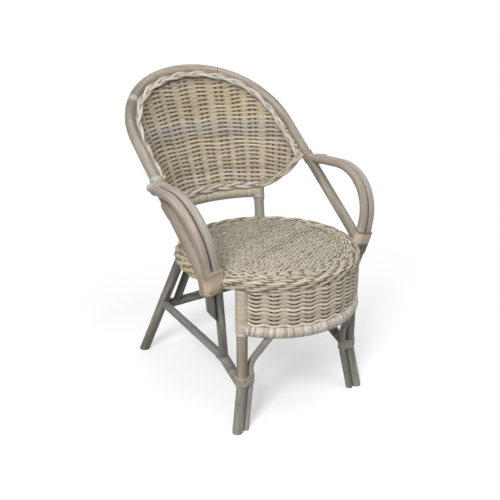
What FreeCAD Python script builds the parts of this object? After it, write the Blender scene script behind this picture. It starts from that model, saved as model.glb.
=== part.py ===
import FreeCAD, Part
import math
import os

# A rattan armchair: bent poles, coped where one pole meets another and bound with peel, a round
# woven seat with a front apron, and a barrel-shaped woven back inside one bent hoop.
# Millimetres and degrees. +Z is up, the chair faces -Y, and left is -X. Places are measured from
# the centre of the seat ring and then moved so that the origin lies under the middle of the chair.

SIZES = [
    ("hoop_diameter", 30, "pole of the back hoop"),
    ("rear_leg_diameter", 31, "pole of a rear leg"),
    ("front_leg_diameter", 30, "pole of a front leg"),
    ("arm_diameter", 25, "each of the two poles of an arm"),
    ("stretcher_diameter", 24, "side stretchers"),
    ("rear_stretcher_diameter", 29, "rear stretcher"),
    ("knee_brace_diameter", 19.5, "thin pole beside a front leg"),
    ("rear_brace_diameter", 25, "pole beside a rear leg"),
    ("seat_ring_diameter", 26, "pole of the seat ring"),
    ("seat_bar_diameter", 20, "cross bars under the seat weave"),
    ("back_rail_diameter", 30, "pole under the woven back"),
    ("apron_rail_diameter", 26, "pole under the apron"),
    ("peel_thickness", 2.5, "wound peel"),
    ("rim_wrap_thickness", 4, "rods wound round the seat ring"),
    ("weave_thickness", 8, "woven seat, apron and back"),
    ("braid_diameter", 17, "plaited border of the back"),
    ("braid_depth", 3, "axis of the upper border below the weave's upper edge"),
    ("fit_gap", 0.3, "clearance between poles that lie side by side"),
    ("seat_ring_radius", 245, "to the pole's axis"),
    ("seat_ring_height", 431, "to the pole's axis"),
    ("seat_crown", 0.5, "rise of the seat weave in the middle"),
    ("seat_rib_rise", 3.5, "ridges of the seat's twill above the weave"),
    ("seat_rib_width", 18, "a ridge of the seat's twill"),
    ("seat_rib_spacing", 24.2, "between two ridges of the seat's twill"),
    ("seat_rib_angle", 8.5, "slant of the ridges across the seat"),
    ("seat_slope_width", 60, "sloping border of the seat weave"),
    ("seat_bar_spacing", 190, "between the two cross bars"),
    ("rim_wrap_low_angle", 50, "below level, where the rim's rods start on the ring"),
    ("rim_wrap_high_angle", 110, "above level, where the rim's rods end"),
    ("hoop_half_width", 262, "axis of a hoop side from the middle"),
    ("hoop_top_height", 887, "axis of the hoop's crown"),
    ("hoop_elbow_height", 440, "corner between a hoop side and its foot"),
    ("hoop_slope", 39.5, "the hoop's plane above level"),
    ("hoop_crown_radius", 300, "bend of the crown"),
    ("hoop_corner_radius", 240, "bend between the crown and a side"),
    ("hoop_foot_radius", 80, "bend between a side and its foot"),
    ("hoop_foot_height", 396, "lower end of the hoop"),
    ("post_advance", 118, "arm post in front of the seat centre"),
    ("arm_height", 648, "corner of the arm's bend"),
    ("arm_spread", 38, "how far an arm leans out above its post"),
    ("arm_bend_radius", 140, "main bend of an arm"),
    ("arm_kink_height", 462, "where an arm post starts to lean out"),
    ("arm_kink_radius", 260, "bend where the post starts to lean out"),
    ("arm_joint_height", 637, "arm's inner pole at the hoop"),
    ("arm_end_advance", 8, "outer pole's rear end in front of the hoop's axis"),
    ("arm_outer_foot_height", 309, "lower end of the outer pole"),
    ("arm_scarf_angle", 52, "slope of the outer pole's cut end"),
    ("rear_foot_spread", 211.5, "rear foot from the middle"),
    ("rear_foot_setback", 398.5, "rear foot behind the seat centre"),
    ("rear_knee_spread", 132.5, "rear leg's bend from the middle"),
    ("rear_knee_height", 420, "rear leg's bend"),
    ("rear_knee_radius", 60, "rear leg's bend"),
    ("rear_leg_notch", 14, "how far the bend's corner lies inside the ring's face"),
    ("upright_spread", 163, "top of a rear upright from the middle"),
    ("back_rail_radius", 320, "bow of the back rail about the seat centre"),
    ("back_rail_height", 510, "axis of the back rail"),
    ("panel_shoulder_height", 648, "lower corner of the back weave at the hoop"),
    ("panel_top_band", 12, "back weave where it meets the hoop"),
    ("back_rib_diameter", 14.5, "an upright stake of the back with the strands round it"),
    ("back_rib_low_spacing", 43.2, "between two stakes at the back rail"),
    ("back_rib_high_spacing", 59.2, "between two stakes at the height of the hoop's crown"),
    ("back_rib_shift", -11.3, "first stake from the middle, at the back rail"),
    ("back_rib_margin", 26, "ends of a stake's ridge from the edges of the weave"),
    ("front_leg_spread", 190.5, "front leg from the middle"),
    ("front_leg_advance", 153.5, "front leg in front of the seat centre"),
    ("front_leg_lap", 11, "top of a front leg below the ring's axis"),
    ("front_foot_flare", 25, "front foot outside its leg"),
    ("front_foot_splay", 14, "front foot in front of its leg"),
    ("front_flare_height", 135, "where a front leg starts to flare"),
    ("front_flare_radius", 150, "bend of the flare"),
    ("knee_height", 196, "where a knee brace bends inwards"),
    ("knee_radius", 80, "bend of a knee brace"),
    ("knee_top_spread", 134, "knee brace at the apron rail, from the middle"),
    ("apron_rail_height", 303, "axis of the apron rail"),
    ("apron_advance", 260, "axis of the apron rail's middle in front of the seat centre"),
    ("side_stretcher_rear_height", 190, "at the rear leg"),
    ("side_stretcher_drop_height", 172, "where it starts to drop"),
    ("side_stretcher_front_height", 129, "at the front leg"),
    ("side_stretcher_drop_advance", 58.5, "where it starts to drop, before the seat centre"),
    ("side_stretcher_radius", 40, "bend where it starts to drop"),
    ("stretcher_wrap_length", 24, "wrap behind the corner of the drop"),
    ("rear_stretcher_height", 178, "axis of the rear stretcher"),
    ("rear_brace_foot_spread", 126, "rear brace on the stretcher, from the middle"),
    ("rear_brace_top_spread", 81, "rear brace at the ring, from the middle"),
    ("post_binding_top", 478, "top of the binding beside the seat"),
    ("post_binding_length", 68, "height of the binding beside the seat"),
    ("leg_binding_height", 148, "middle of the leg and brace binding"),
    ("leg_binding_width", 28, "height of the leg and brace binding"),
    ("arm_strap_width", 32, "strap round the hoop at the arm"),
    ("arm_collar_width", 10, "collar round the two arm poles"),
    ("arm_collar_advance", 38, "collar in front of the hoop's axis"),
    ("corner_wrap_length", 44, "wrap on an upright below the back rail"),
    ("hoop_top_setback", "=(hoop_top_height - hoop_elbow_height) / tan(hoop_slope * 1 deg)"
                         " - post_advance + (arm_diameter + hoop_diameter) / 2 + fit_gap",
     "axis of the hoop's crown behind the seat centre, on the slope that rises from the elbows"),
]

doc = FreeCAD.newDocument("rattan_armchair")


def fill_sheet():
    """Write every size to an aliased cell and return the sheet."""
    cells = doc.addObject("Spreadsheet::Sheet", "Sizes")
    for row, (alias, value, note) in enumerate(SIZES, start=1):
        cells.set(f"A{row}", alias)
        cells.set(f"B{row}", str(value))
        cells.set(f"C{row}", note)
        cells.setAlias(f"B{row}", alias)
    doc.recompute()
    return cells


sheet = fill_sheet()


def size(alias):
    """The number in the sheet's cell of that name."""
    return float(sheet.get(alias))


def radius_of(pole):
    """Half of a pole's diameter."""
    return size(f"{pole}_diameter") / 2


gap = size("fit_gap")
peel = size("peel_thickness")
ring_reach = size("seat_ring_radius") + radius_of("seat_ring")
apron_rise = size("apron_advance") - size("front_leg_advance")
apron_radius = (size("front_leg_spread") ** 2 + apron_rise ** 2) / (2 * apron_rise)
apron_middle = apron_radius - size("apron_advance")
apron_reach = size("apron_advance") + radius_of("apron_rail") + peel
seat_y = (apron_reach - size("hoop_top_setback") - radius_of("hoop")) / 2


def point(x, y, z):
    """A place measured from the seat centre on the floor, in the chair's frame."""
    return FreeCAD.Vector(x, y + seat_y, z)


def on_line(start, end, z):
    """The place at height z on the line through start and end."""
    return start + (end - start) * ((z - start.z) / (end.z - start.z))


# Routes and basic solids

SHORTEST_RUN = 0.001
QUARTER_TURN = 90


def bent_route(corners, radii):
    """A wire of straight runs with a tangent arc at each inner corner."""
    edges = []
    last = corners[0]
    for before, corner, after, radius in zip(corners, corners[1:], corners[2:], radii):
        back = (before - corner).normalize()
        ahead = (after - corner).normalize()
        half_turn = (math.pi - back.getAngle(ahead)) / 2
        reach = radius * math.tan(half_turn)
        middle = corner + (back + ahead).normalize() * (radius / math.cos(half_turn) - radius)
        first = corner + back * reach
        if (first - last).Length > SHORTEST_RUN:
            edges.append(Part.LineSegment(last, first).toShape())
        last = corner + ahead * reach
        edges.append(Part.Arc(first, middle, last).toShape())
    edges.append(Part.LineSegment(last, corners[-1]).toShape())
    return Part.Wire(edges)


def add_shape(name, shape):
    """Keep a route or an outline as an object of the document."""
    feature = doc.addObject("Part::Feature", name)
    feature.Shape = shape
    return feature


def axes_placement(base, along, across):
    """A placement whose Z runs along one direction and whose X lies near another."""
    z_axis = FreeCAD.Vector(along).normalize()
    y_axis = z_axis.cross(across).normalize()
    x_axis = y_axis.cross(z_axis)
    return FreeCAD.Placement(base, FreeCAD.Rotation(x_axis, y_axis, z_axis, "ZXY"))


def side_of(direction):
    """The X or Y direction that lies further from a given direction."""
    along_x = abs(direction.x) > abs(direction.y)
    return FreeCAD.Vector(0, 1, 0) if along_x else FreeCAD.Vector(1, 0, 0)


def sweep_round(name, wire, radius_rule):
    """A round pole along a wire, with its radius bound to the sheet."""
    spine = add_shape(f"{name}_route", wire)
    start = wire.OrderedEdges[0]
    base = start.valueAt(start.FirstParameter)
    tangent = start.tangentAt(start.FirstParameter)
    side = side_of(tangent)
    section = doc.addObject("Part::Circle", f"{name}_section")
    section.setExpression("Radius", radius_rule)
    section.Placement = axes_placement(base, tangent, side)
    pole = doc.addObject("Part::Sweep", name)
    pole.Sections = [section]
    pole.Spine = (spine, [f"Edge{number}" for number in range(1, len(wire.Edges) + 1)])
    pole.Solid = True
    pole.Frenet = False
    return pole


def bend_pole(name, corners, radii, diameter):
    """A pole of a named diameter, bent at the inner corners."""
    return sweep_round(name, bent_route(corners, radii), f"Sizes.{diameter}_diameter / 2")


def straight_sleeve(name, start, end, radius_rule):
    """A round bar between two places, used for wraps on straight runs."""
    bar = doc.addObject("Part::Cylinder", name)
    bar.setExpression("Radius", radius_rule)
    bar.Height = (end - start).Length
    bar.Placement = axes_placement(start, end - start, side_of(end - start))
    return bar


def ring(name, radius_rule, thickness_rule, height_rule):
    """A level torus about the seat's axis."""
    torus = doc.addObject("Part::Torus", name)
    torus.setExpression("Radius1", radius_rule)
    torus.setExpression("Radius2", thickness_rule)
    torus.setExpression("Placement.Base.z", height_rule)
    torus.Placement.Base.y = seat_y
    return torus


def revolve(name, wire, axis_y, start_angle, sweep_angle):
    """Turn an outline, drawn in the XZ plane, about an upright axis in the middle of the chair."""
    outline = add_shape(f"{name}_outline", wire)
    turned = doc.addObject("Part::Revolution", name)
    turned.Source = outline
    turned.Axis = FreeCAD.Vector(0, 0, 1)
    turned.Angle = sweep_angle
    turned.Solid = True
    rotation = FreeCAD.Rotation(FreeCAD.Vector(0, 0, 1), start_angle)
    turned.Placement = FreeCAD.Placement(FreeCAD.Vector(0, axis_y, 0), rotation)
    return turned


def cut(name, base, tools):
    """Cope one piece to fit round others."""
    result = base
    for number, tool in enumerate(tools, start=1):
        last = number == len(tools)
        step = doc.addObject("Part::Cut", name if last else f"{name}_cope{number}")
        step.Base = result
        step.Tool = tool
        result = step
    return result


def fuse(name, pieces):
    """Pieces grown together into one."""
    whole = doc.addObject("Part::MultiFuse", name)
    whole.Shapes = pieces
    whole.Refine = False
    return whole


def mirror(name, source):
    """The right-hand twin of a left-hand piece."""
    twin = doc.addObject("Part::Mirroring", name)
    twin.Source = source
    twin.Base = FreeCAD.Vector(0, 0, 0)
    twin.Normal = FreeCAD.Vector(1, 0, 0)
    return twin


def band_outline(circles):
    """A closed outline pulled tight round circles, given anticlockwise as (x, y, radius)."""
    tangents = []
    for (x0, y0, r0), (x1, y1, r1) in zip(circles, circles[1:] + circles[:1]):
        heading = math.atan2(y1 - y0, x1 - x0)
        normal = heading - math.acos((r0 - r1) / math.hypot(x1 - x0, y1 - y0))
        side = FreeCAD.Vector(math.cos(normal), math.sin(normal), 0)
        first = FreeCAD.Vector(x0, y0, 0) + side * r0
        last = FreeCAD.Vector(x1, y1, 0) + side * r1
        tangents.append((first, last, normal))
    edges = []
    turns = tangents[-1:] + tangents[:-1]
    for (x, y, radius), arriving, leaving in zip(circles, turns, tangents):
        turn = (leaving[2] - arriving[2]) % (2 * math.pi)
        middle = arriving[2] + turn / 2
        crest = FreeCAD.Vector(x + radius * math.cos(middle), y + radius * math.sin(middle), 0)
        edges.append(Part.Arc(arriving[1], crest, leaving[0]).toShape())
        edges.append(Part.LineSegment(leaving[0], leaving[1]).toShape())
    return Part.Wire(edges)


def bind_pair(name, first_axis, first_radius, second_axis, second_radius, along, length_rule):
    """A peel band round two poles: its outline pulled tight round both, drawn out along them."""
    across = second_axis - first_axis
    circles = [(0, 0, first_radius + peel), (across.Length, 0, second_radius + peel)]
    outline = add_shape(f"{name}_outline", band_outline(circles))
    outline.Placement = axes_placement(first_axis, along, across)
    band = doc.addObject("Part::Extrusion", name)
    band.Base = outline
    band.DirMode = "Custom"
    band.Dir = FreeCAD.Vector(along).normalize()
    band.setExpression("LengthFwd", length_rule)
    band.Solid = True
    return band


# Back hoop


def hoop_point(x, below_top):
    """A place in the hoop's tilted plane, measured down its slope from the crown."""
    slope = math.radians(size("hoop_slope"))
    setback = size("hoop_top_setback") - below_top * math.cos(slope)
    return point(x, setback, size("hoop_top_height") - below_top * math.sin(slope))


def below_top_at_height(z):
    """How far down the hoop's slope a height lies."""
    return (size("hoop_top_height") - z) / math.sin(math.radians(size("hoop_slope")))


def below_top_at_setback(y):
    """How far down the hoop's slope a setback lies."""
    return (size("hoop_top_setback") - y) / math.cos(math.radians(size("hoop_slope")))


def haunch_radius():
    """The bend between crown and side, limited by the straight side above the weave's shoulder."""
    half_width = size("hoop_half_width")
    crown = size("hoop_crown_radius")
    room = below_top_at_height(size("panel_shoulder_height")) - size("hoop_diameter")
    rise = crown - min(room, crown)
    limit = (crown ** 2 - half_width ** 2 - rise ** 2) / (2 * (crown - half_width))
    return min(size("hoop_corner_radius"), limit)


def arch_corners(inset):
    """Corners of the three-centred arch: where a side, the haunches and the crown would meet."""
    half_width = size("hoop_half_width") - inset
    corner = haunch_radius() - inset
    crown = size("hoop_crown_radius") - inset
    lean = math.asin((half_width - corner) / (crown - corner))
    peak = inset + crown - crown / math.cos(lean)
    shoulder = peak + half_width * math.tan(lean)
    corners = [(-half_width, shoulder), (0, peak), (half_width, shoulder)]
    return corners, [corner, crown, corner]


def hoop_foot_y():
    """The hoop's foot stands behind the arm post and touches it."""
    return -size("post_advance") + radius_of("arm") + radius_of("hoop") + gap


def make_hoop():
    """One pole: a foot, a sloping side, the arch, and the same again."""
    corners, radii = arch_corners(0)
    half_width = size("hoop_half_width")
    elbow = below_top_at_setback(hoop_foot_y())
    foot_left = point(-half_width, hoop_foot_y(), size("hoop_foot_height"))
    foot_right = point(half_width, hoop_foot_y(), size("hoop_foot_height"))
    route = [foot_left, hoop_point(-half_width, elbow)]
    route += [hoop_point(x, below) for x, below in corners]
    route += [hoop_point(half_width, elbow), foot_right]
    bend = size("hoop_foot_radius")
    return bend_pole("back_hoop", route, [bend] + radii + [bend], "hoop")


# Arms


def stretcher_ends():
    """A side stretcher's axis at the rear leg, at the drop and at the front leg."""
    rear = on_line(rear_foot, rear_knee, size("side_stretcher_rear_height"))
    front_height = size("side_stretcher_front_height")
    front = point(-size("front_leg_spread"), -size("front_leg_advance"), front_height)
    drop_y = seat_y - size("side_stretcher_drop_advance")
    share = (drop_y - rear.y) / (front.y - rear.y)
    drop_x = rear.x + (front.x - rear.x) * share
    return rear, FreeCAD.Vector(drop_x, drop_y, size("side_stretcher_drop_height")), front


def arm_corners():
    """Corners of the inner pole's route and the way out to the outer pole."""
    drop = stretcher_ends()[1]
    post_reach = ring_reach + radius_of("arm") + gap
    post_x = -math.sqrt(post_reach ** 2 - size("post_advance") ** 2)
    kink = point(post_x, -size("post_advance"), size("arm_kink_height"))
    bend = point(post_x - size("arm_spread"), -size("post_advance"), size("arm_height"))
    joint = hoop_point(-size("hoop_half_width"), below_top_at_height(size("arm_joint_height")))
    foot = run_on(kink, drop, -radius_of("stretcher") / 2)
    out = (joint - bend).cross(bend - kink).normalize()
    if out.x > 0:
        out = out * -1
    return foot, kink, bend, joint, out


def arm_spacing():
    """Axis to axis of the two poles of an arm."""
    return 2 * radius_of("arm") + 2 * gap


def outer_corners():
    """The outer pole's route, one pole outside the inner one."""
    foot, kink, bend, joint, out = arm_corners()
    low = on_line(foot, kink, size("arm_outer_foot_height"))
    step = out * arm_spacing()
    end = run_on(bend, joint, -size("arm_end_advance"))
    return low + FreeCAD.Vector(-arm_spacing(), 0, 0), kink + step, bend + step, end + step


def scarf_block(low):
    """A block whose upper face slopes through the outer pole's lower end."""
    reach = 4 * size("arm_diameter")
    block = doc.addObject("Part::Box", "arm_scarf_block")
    block.Length = reach
    block.Width = reach
    block.Height = reach
    turn = FreeCAD.Rotation(FreeCAD.Vector(0, 1, 0), size("arm_scarf_angle"))
    rise = radius_of("arm") * math.tan(math.radians(size("arm_scarf_angle")))
    corner = turn.multVec(FreeCAD.Vector(-reach / 2, -reach / 2, -reach))
    block.Placement = FreeCAD.Placement(low + FreeCAD.Vector(0, 0, rise) + corner, turn)
    return block


def arm_bend():
    """The arm's main bend, limited by the straight run that its collar needs."""
    foot, kink, bend, joint, out = arm_corners()
    half_turn = (math.pi - (kink - bend).getAngle(joint - bend)) / 2
    room = (joint - bend).Length - size("arm_collar_advance") - size("arm_collar_width")
    return min(size("arm_bend_radius"), room / math.tan(half_turn))


def make_arm_poles():
    """The two raw poles of the left arm."""
    foot, kink, bend, joint, out = arm_corners()
    radii = [size("arm_kink_radius"), arm_bend()]
    inner = bend_pole("arm_inner_left_pole", [foot, kink, bend, joint], radii, "arm")
    low, outer_kink, outer_bend, end = outer_corners()
    outer_radii = [size("arm_kink_radius") - arm_spacing(), arm_bend()]
    outer = bend_pole("arm_outer_left_pole", [low, outer_kink, outer_bend, end], outer_radii, "arm")
    return inner, cut("arm_outer_left_scarfed", outer, [scarf_block(low)])


def make_arm_strap():
    """Peel wound round the hoop where the arm meets it."""
    middle = below_top_at_height(size("arm_joint_height"))
    half = size("arm_strap_width") / 2
    side = -size("hoop_half_width")
    lower = hoop_point(side, middle + half)
    upper = hoop_point(side, middle - half)
    rule = "Sizes.hoop_diameter / 2 + Sizes.peel_thickness"
    return straight_sleeve("arm_strap_left_roll", lower, upper, rule)


def make_arm_collar():
    """A narrow band round both arm poles in front of the hoop."""
    foot, kink, bend, joint, out = arm_corners()
    forward = (bend - joint).normalize()
    start = joint + forward * size("arm_collar_advance")
    arm = radius_of("arm")
    other = start + out * arm_spacing()
    return bind_pair("arm_collar_left_band", start, arm, other, arm, forward, "Sizes.arm_collar_width")


def make_post_binding():
    """Peel wound round both arm poles beside the seat."""
    foot, kink, bend, joint, out = arm_corners()
    along = (kink - foot).normalize()
    start = on_line(foot, kink, size("post_binding_top") - size("post_binding_length"))
    arm = radius_of("arm")
    other = start + FreeCAD.Vector(-arm_spacing(), 0, 0)
    return bind_pair("post_binding_left_band", start, arm, other, arm, along, "Sizes.post_binding_length")


# Legs, braces and stretchers

knee_reach = ring_reach + radius_of("rear_leg") - size("rear_leg_notch")
knee_y = math.sqrt(knee_reach ** 2 - size("rear_knee_spread") ** 2)
upright_y = math.sqrt(size("back_rail_radius") ** 2 - size("upright_spread") ** 2)
upright_top_height = size("back_rail_height") + radius_of("back_rail")
rear_foot = point(-size("rear_foot_spread"), size("rear_foot_setback"), 0)
rear_knee = point(-size("rear_knee_spread"), knee_y, size("rear_knee_height"))
rail_end = point(-size("upright_spread"), upright_y, size("back_rail_height"))
upright_top = on_line(rear_knee, rail_end, upright_top_height)
trim_depth = size("rear_leg_diameter") * 2


def level_slab(name, bottom):
    """A wide slab that trims the slanting ends of poles level."""
    reach = size("rear_foot_setback") * 4
    slab = doc.addObject("Part::Box", name)
    slab.Length = reach
    slab.Width = reach
    slab.Height = trim_depth
    slab.Placement.Base = FreeCAD.Vector(-reach / 2, -reach / 2, bottom)
    return slab


def run_on(start, end, length):
    """The place past the end of a run, on its line."""
    return end + (end - start).normalize() * length


def make_rear_leg():
    """From below the floor, bent at the seat, up to the back rail."""
    below_floor = run_on(rear_knee, rear_foot, size("rear_leg_diameter"))
    above_rail = run_on(rear_knee, upright_top, size("rear_leg_diameter"))
    corners = [below_floor, rear_knee, above_rail]
    return bend_pole("rear_leg_left_pole", corners, [size("rear_knee_radius")], "rear_leg")


def front_leg_corners(inset):
    """A front leg's route, or that of a pole set inwards beside it."""
    spread = size("front_leg_spread") - inset
    advance = -size("front_leg_advance")
    foot = point(-spread - size("front_foot_flare"), advance - size("front_foot_splay"), 0)
    flare = point(-spread, advance, size("front_flare_height"))
    return run_on(flare, foot, size("front_leg_diameter")), flare, spread, advance


def make_front_leg():
    """Upright from a flared foot to a lap joint under the seat ring."""
    foot, flare, spread, advance = front_leg_corners(0)
    top = point(-spread, advance, size("seat_ring_height") - size("front_leg_lap"))
    return bend_pole("front_leg_left_pole", [foot, flare, top], [size("front_flare_radius")], "front_leg")


def brace_inset():
    """A knee brace lies against the inner side of its leg."""
    return radius_of("front_leg") + radius_of("knee_brace") + 3 * gap


def make_knee_brace():
    """Beside the leg from the floor, then in and forward to the apron rail."""
    foot, flare, spread, advance = front_leg_corners(brace_inset())
    knee = point(-spread, advance, size("knee_height"))
    top_y = apron_middle - math.sqrt(apron_radius ** 2 - size("knee_top_spread") ** 2)
    top = point(-size("knee_top_spread"), top_y, size("apron_rail_height"))
    radii = [size("front_flare_radius"), size("knee_radius")]
    return bend_pole("knee_brace_left_pole", [foot, flare, knee, top], radii, "knee_brace")


def make_leg_binding():
    """A band round a front leg and its knee brace."""
    start_height = size("leg_binding_height") - size("leg_binding_width") / 2
    start = point(-size("front_leg_spread"), -size("front_leg_advance"), start_height)
    other = start + FreeCAD.Vector(brace_inset(), 0, 0)
    leg = radius_of("front_leg")
    brace = radius_of("knee_brace")
    up = FreeCAD.Vector(0, 0, 1)
    return bind_pair("leg_binding_left_band", start, leg, other, brace, up, "Sizes.leg_binding_width")


def make_side_stretcher():
    """From the rear leg, level, then down to the front leg."""
    radii = [size("side_stretcher_radius")]
    return bend_pole("side_stretcher_left_pole", list(stretcher_ends()), radii, "stretcher")


def make_stretcher_wrap():
    """Peel wound round the stretcher's drop, from behind the arm post to the front leg."""
    rear, drop, front = stretcher_ends()
    start = run_on(rear, drop, -size("stretcher_wrap_length"))
    route = bent_route([start, drop, front], [size("side_stretcher_radius")])
    rule = "Sizes.stretcher_diameter / 2 + Sizes.peel_thickness"
    return sweep_round("stretcher_wrap_left_roll", route, rule)


def make_rear_stretcher():
    """Straight across between the rear legs."""
    left = on_line(rear_foot, rear_knee, size("rear_stretcher_height"))
    right = FreeCAD.Vector(-left.x, left.y, left.z)
    return bend_pole("rear_stretcher_pole", [left, right], [], "rear_stretcher")


def make_rear_brace():
    """From the rear stretcher up to the seat ring."""
    level = on_line(rear_foot, rear_knee, size("rear_stretcher_height"))
    foot = FreeCAD.Vector(-size("rear_brace_foot_spread"), level.y, level.z)
    top_spread = size("rear_brace_top_spread")
    top_y = math.sqrt(size("seat_ring_radius") ** 2 - top_spread ** 2)
    top = point(-top_spread, top_y, size("seat_ring_height"))
    return bend_pole("rear_brace_left_pole", [foot, top], [], "rear_brace")


# Seat


def polar(radius, angle):
    """A place in the ring's cross-section, in the XZ plane."""
    turn = math.radians(angle)
    return FreeCAD.Vector(size("seat_ring_radius") + radius * math.cos(turn), 0,
                          size("seat_ring_height") + radius * math.sin(turn))


def make_rim_wrap():
    """Rods wound over the outer and upper side of the seat ring."""
    inner = radius_of("seat_ring")
    outer = inner + size("rim_wrap_thickness")
    low = -size("rim_wrap_low_angle")
    high = size("rim_wrap_high_angle")
    middle = (low + high) / 2
    edges = [
        Part.Arc(polar(outer, low), polar(outer, middle), polar(outer, high)).toShape(),
        Part.LineSegment(polar(outer, high), polar(inner, high)).toShape(),
        Part.Arc(polar(inner, high), polar(inner, middle), polar(inner, low)).toShape(),
        Part.LineSegment(polar(inner, low), polar(outer, low)).toShape(),
    ]
    return revolve("rim_wrap_whole", Part.Wire(edges), seat_y, 0, 360)


def make_seat_panel():
    """The woven disc, raised in the middle, on the ring's inner shoulder."""
    edge = polar(radius_of("seat_ring") + size("rim_wrap_thickness"), size("rim_wrap_high_angle")).x
    bottom = size("seat_ring_height") + radius_of("seat_bar")
    top = bottom + size("weave_thickness")
    crown = top + size("seat_crown")
    flat = edge - size("seat_slope_width")
    corners = [(0, bottom), (edge, bottom), (edge, top), (flat, crown), (0, crown)]
    places = [FreeCAD.Vector(x, 0, z) for x, z in corners]
    whole = revolve("seat_panel_whole", Part.makePolygon(places + places[:1]), seat_y, 0, 360)
    return fuse("seat_panel_ribbed", [whole] + make_seat_ribs(edge, crown))


def rib_outline(base, across):
    """Cross-section of a seat ridge: a low arc on a foot sunk in the weave."""
    half_width = across * (size("seat_rib_width") / 2)
    up = FreeCAD.Vector(0, 0, 1)
    top = base + up * size("seat_rib_rise")
    sunk = base - up * (size("weave_thickness") / 2)
    arc = Part.Arc(base - half_width, top, base + half_width).toShape()
    foot = Part.makePolygon([base + half_width, sunk + half_width, sunk - half_width, base - half_width])
    return Part.Wire([arc] + foot.Edges)


def make_seat_ribs(edge, crown):
    """Low ridges across the seat, where the twill's strands lie uppermost."""
    slant = FreeCAD.Rotation(FreeCAD.Vector(0, 0, 1), size("seat_rib_angle"))
    along = slant.multVec(FreeCAD.Vector(1, 0, 0))
    across = slant.multVec(FreeCAD.Vector(0, 1, 0))
    reach = edge - size("seat_slope_width") / 2
    count = int(reach / size("seat_rib_spacing"))
    ribs = []
    for number in range(-count, count + 1):
        offset = number * size("seat_rib_spacing")
        half_length = math.sqrt(reach ** 2 - offset ** 2)
        base = point(0, 0, crown) + across * offset - along * half_length
        rib = doc.addObject("Part::Extrusion", f"seat_rib_{number + count}")
        rib.Base = add_shape(f"seat_rib_{number + count}_outline", rib_outline(base, across))
        rib.DirMode = "Custom"
        rib.Dir = along
        rib.LengthFwd = 2 * half_length
        rib.Solid = True
        ribs.append(rib)
    return ribs


def make_seat_bar(name, side):
    """A cross bar between the ring's two sides, just under the weave."""
    y = side * size("seat_bar_spacing") / 2
    x = math.sqrt(size("seat_ring_radius") ** 2 - y ** 2)
    height = size("seat_ring_height") - gap
    return bend_pole(f"{name}_pole", [point(-x, y, height), point(x, y, height)], [], "seat_bar")


# Apron

apron_half = math.degrees(math.asin(size("front_leg_spread") / apron_radius))
apron_start = -QUARTER_TURN - apron_half
apron_y = seat_y + apron_middle


def apron_ring(name, thickness_rule):
    """The bow of the apron rail from leg to leg."""
    rail = doc.addObject("Part::Torus", name)
    rail.Radius1 = apron_radius
    rail.setExpression("Radius2", thickness_rule)
    rail.Angle3 = 2 * apron_half
    rotation = FreeCAD.Rotation(FreeCAD.Vector(0, 0, 1), apron_start)
    rail.Placement = FreeCAD.Placement(FreeCAD.Vector(0, apron_y, size("apron_rail_height")), rotation)
    return rail


def make_apron_wall():
    """The woven wall between the apron rail and the seat ring."""
    outer = apron_radius
    inner = outer - size("weave_thickness")
    low = size("apron_rail_height")
    high = size("seat_ring_height") - size("front_leg_lap")
    corners = [FreeCAD.Vector(inner, 0, low), FreeCAD.Vector(outer, 0, low),
               FreeCAD.Vector(outer, 0, high), FreeCAD.Vector(inner, 0, high)]
    wire = Part.makePolygon(corners + corners[:1])
    return revolve("apron_wall", wire, apron_y, apron_start, 2 * apron_half)


def make_leg_wrap():
    """Apron weavers turned round the top of a front leg."""
    spread = -size("front_leg_spread")
    advance = -size("front_leg_advance")
    low = size("apron_rail_height") - radius_of("apron_rail") - peel
    high = size("seat_ring_height") - size("front_leg_lap")
    foot = point(spread, advance, low)
    top = point(spread, advance, high)
    rule = "Sizes.front_leg_diameter / 2 + Sizes.peel_thickness"
    return straight_sleeve("leg_wrap_left_roll", foot, top, rule)


# Back

RULINGS = 201
RIB_STEP = 5
RIB_POINTS = 4
BRAID_SHARE = 0.8
SIDE_BRAID_SHARES = (0.2, 0.94)


def make_rail(name, thickness_rule):
    """The bowed back rail between the uprights' axes."""
    half = math.degrees(math.asin(size("upright_spread") / size("back_rail_radius")))
    rail = doc.addObject("Part::Torus", name)
    rail.setExpression("Radius1", "Sizes.back_rail_radius")
    rail.setExpression("Radius2", thickness_rule)
    rail.Angle3 = 2 * half
    rotation = FreeCAD.Rotation(FreeCAD.Vector(0, 0, 1), QUARTER_TURN - half)
    rail.Placement = FreeCAD.Placement(FreeCAD.Vector(0, seat_y, size("back_rail_height")), rotation)
    return rail


def panel_foot_height():
    """The back weave stands on the wrapped rail."""
    return size("back_rail_height") + radius_of("back_rail") + peel + gap


def arch_stations(inset):
    """Ends and middles of the arch's five edges: side, haunch, crown, haunch, side."""
    corners, radii = arch_corners(inset)
    shoulder = below_top_at_height(size("panel_shoulder_height"))
    half_width = corners[2][0]
    ends = [hoop_point(-half_width, shoulder), hoop_point(half_width, shoulder)]
    wire = bent_route([ends[0]] + [hoop_point(x, below) for x, below in corners] + [ends[1]], radii)
    return wire.OrderedEdges


def arch_shares(edges):
    """Where each edge of the arch ends, as a share of its whole length."""
    total = sum(edge.Length for edge in edges)
    shares = [0.0]
    for edge in edges:
        shares.append(shares[-1] + edge.Length / total)
    return shares


def foot_bow(radius, shares, z):
    """The weave's lower edge, split like the arch above it."""
    edges = []
    half = math.asin(size("upright_spread") / size("back_rail_radius"))
    for first, last in zip(shares, shares[1:]):
        angles = [half * (2 * share - 1) for share in (first, (first + last) / 2, last)]
        places = [point(radius * math.sin(angle), radius * math.cos(angle), z) for angle in angles]
        edges.append(Part.Arc(*places).toShape())
    return edges


def start_of(edge):
    """The place where an edge starts."""
    return edge.valueAt(edge.FirstParameter)


def end_of(edge):
    """The place where an edge ends."""
    return edge.valueAt(edge.LastParameter)


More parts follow.
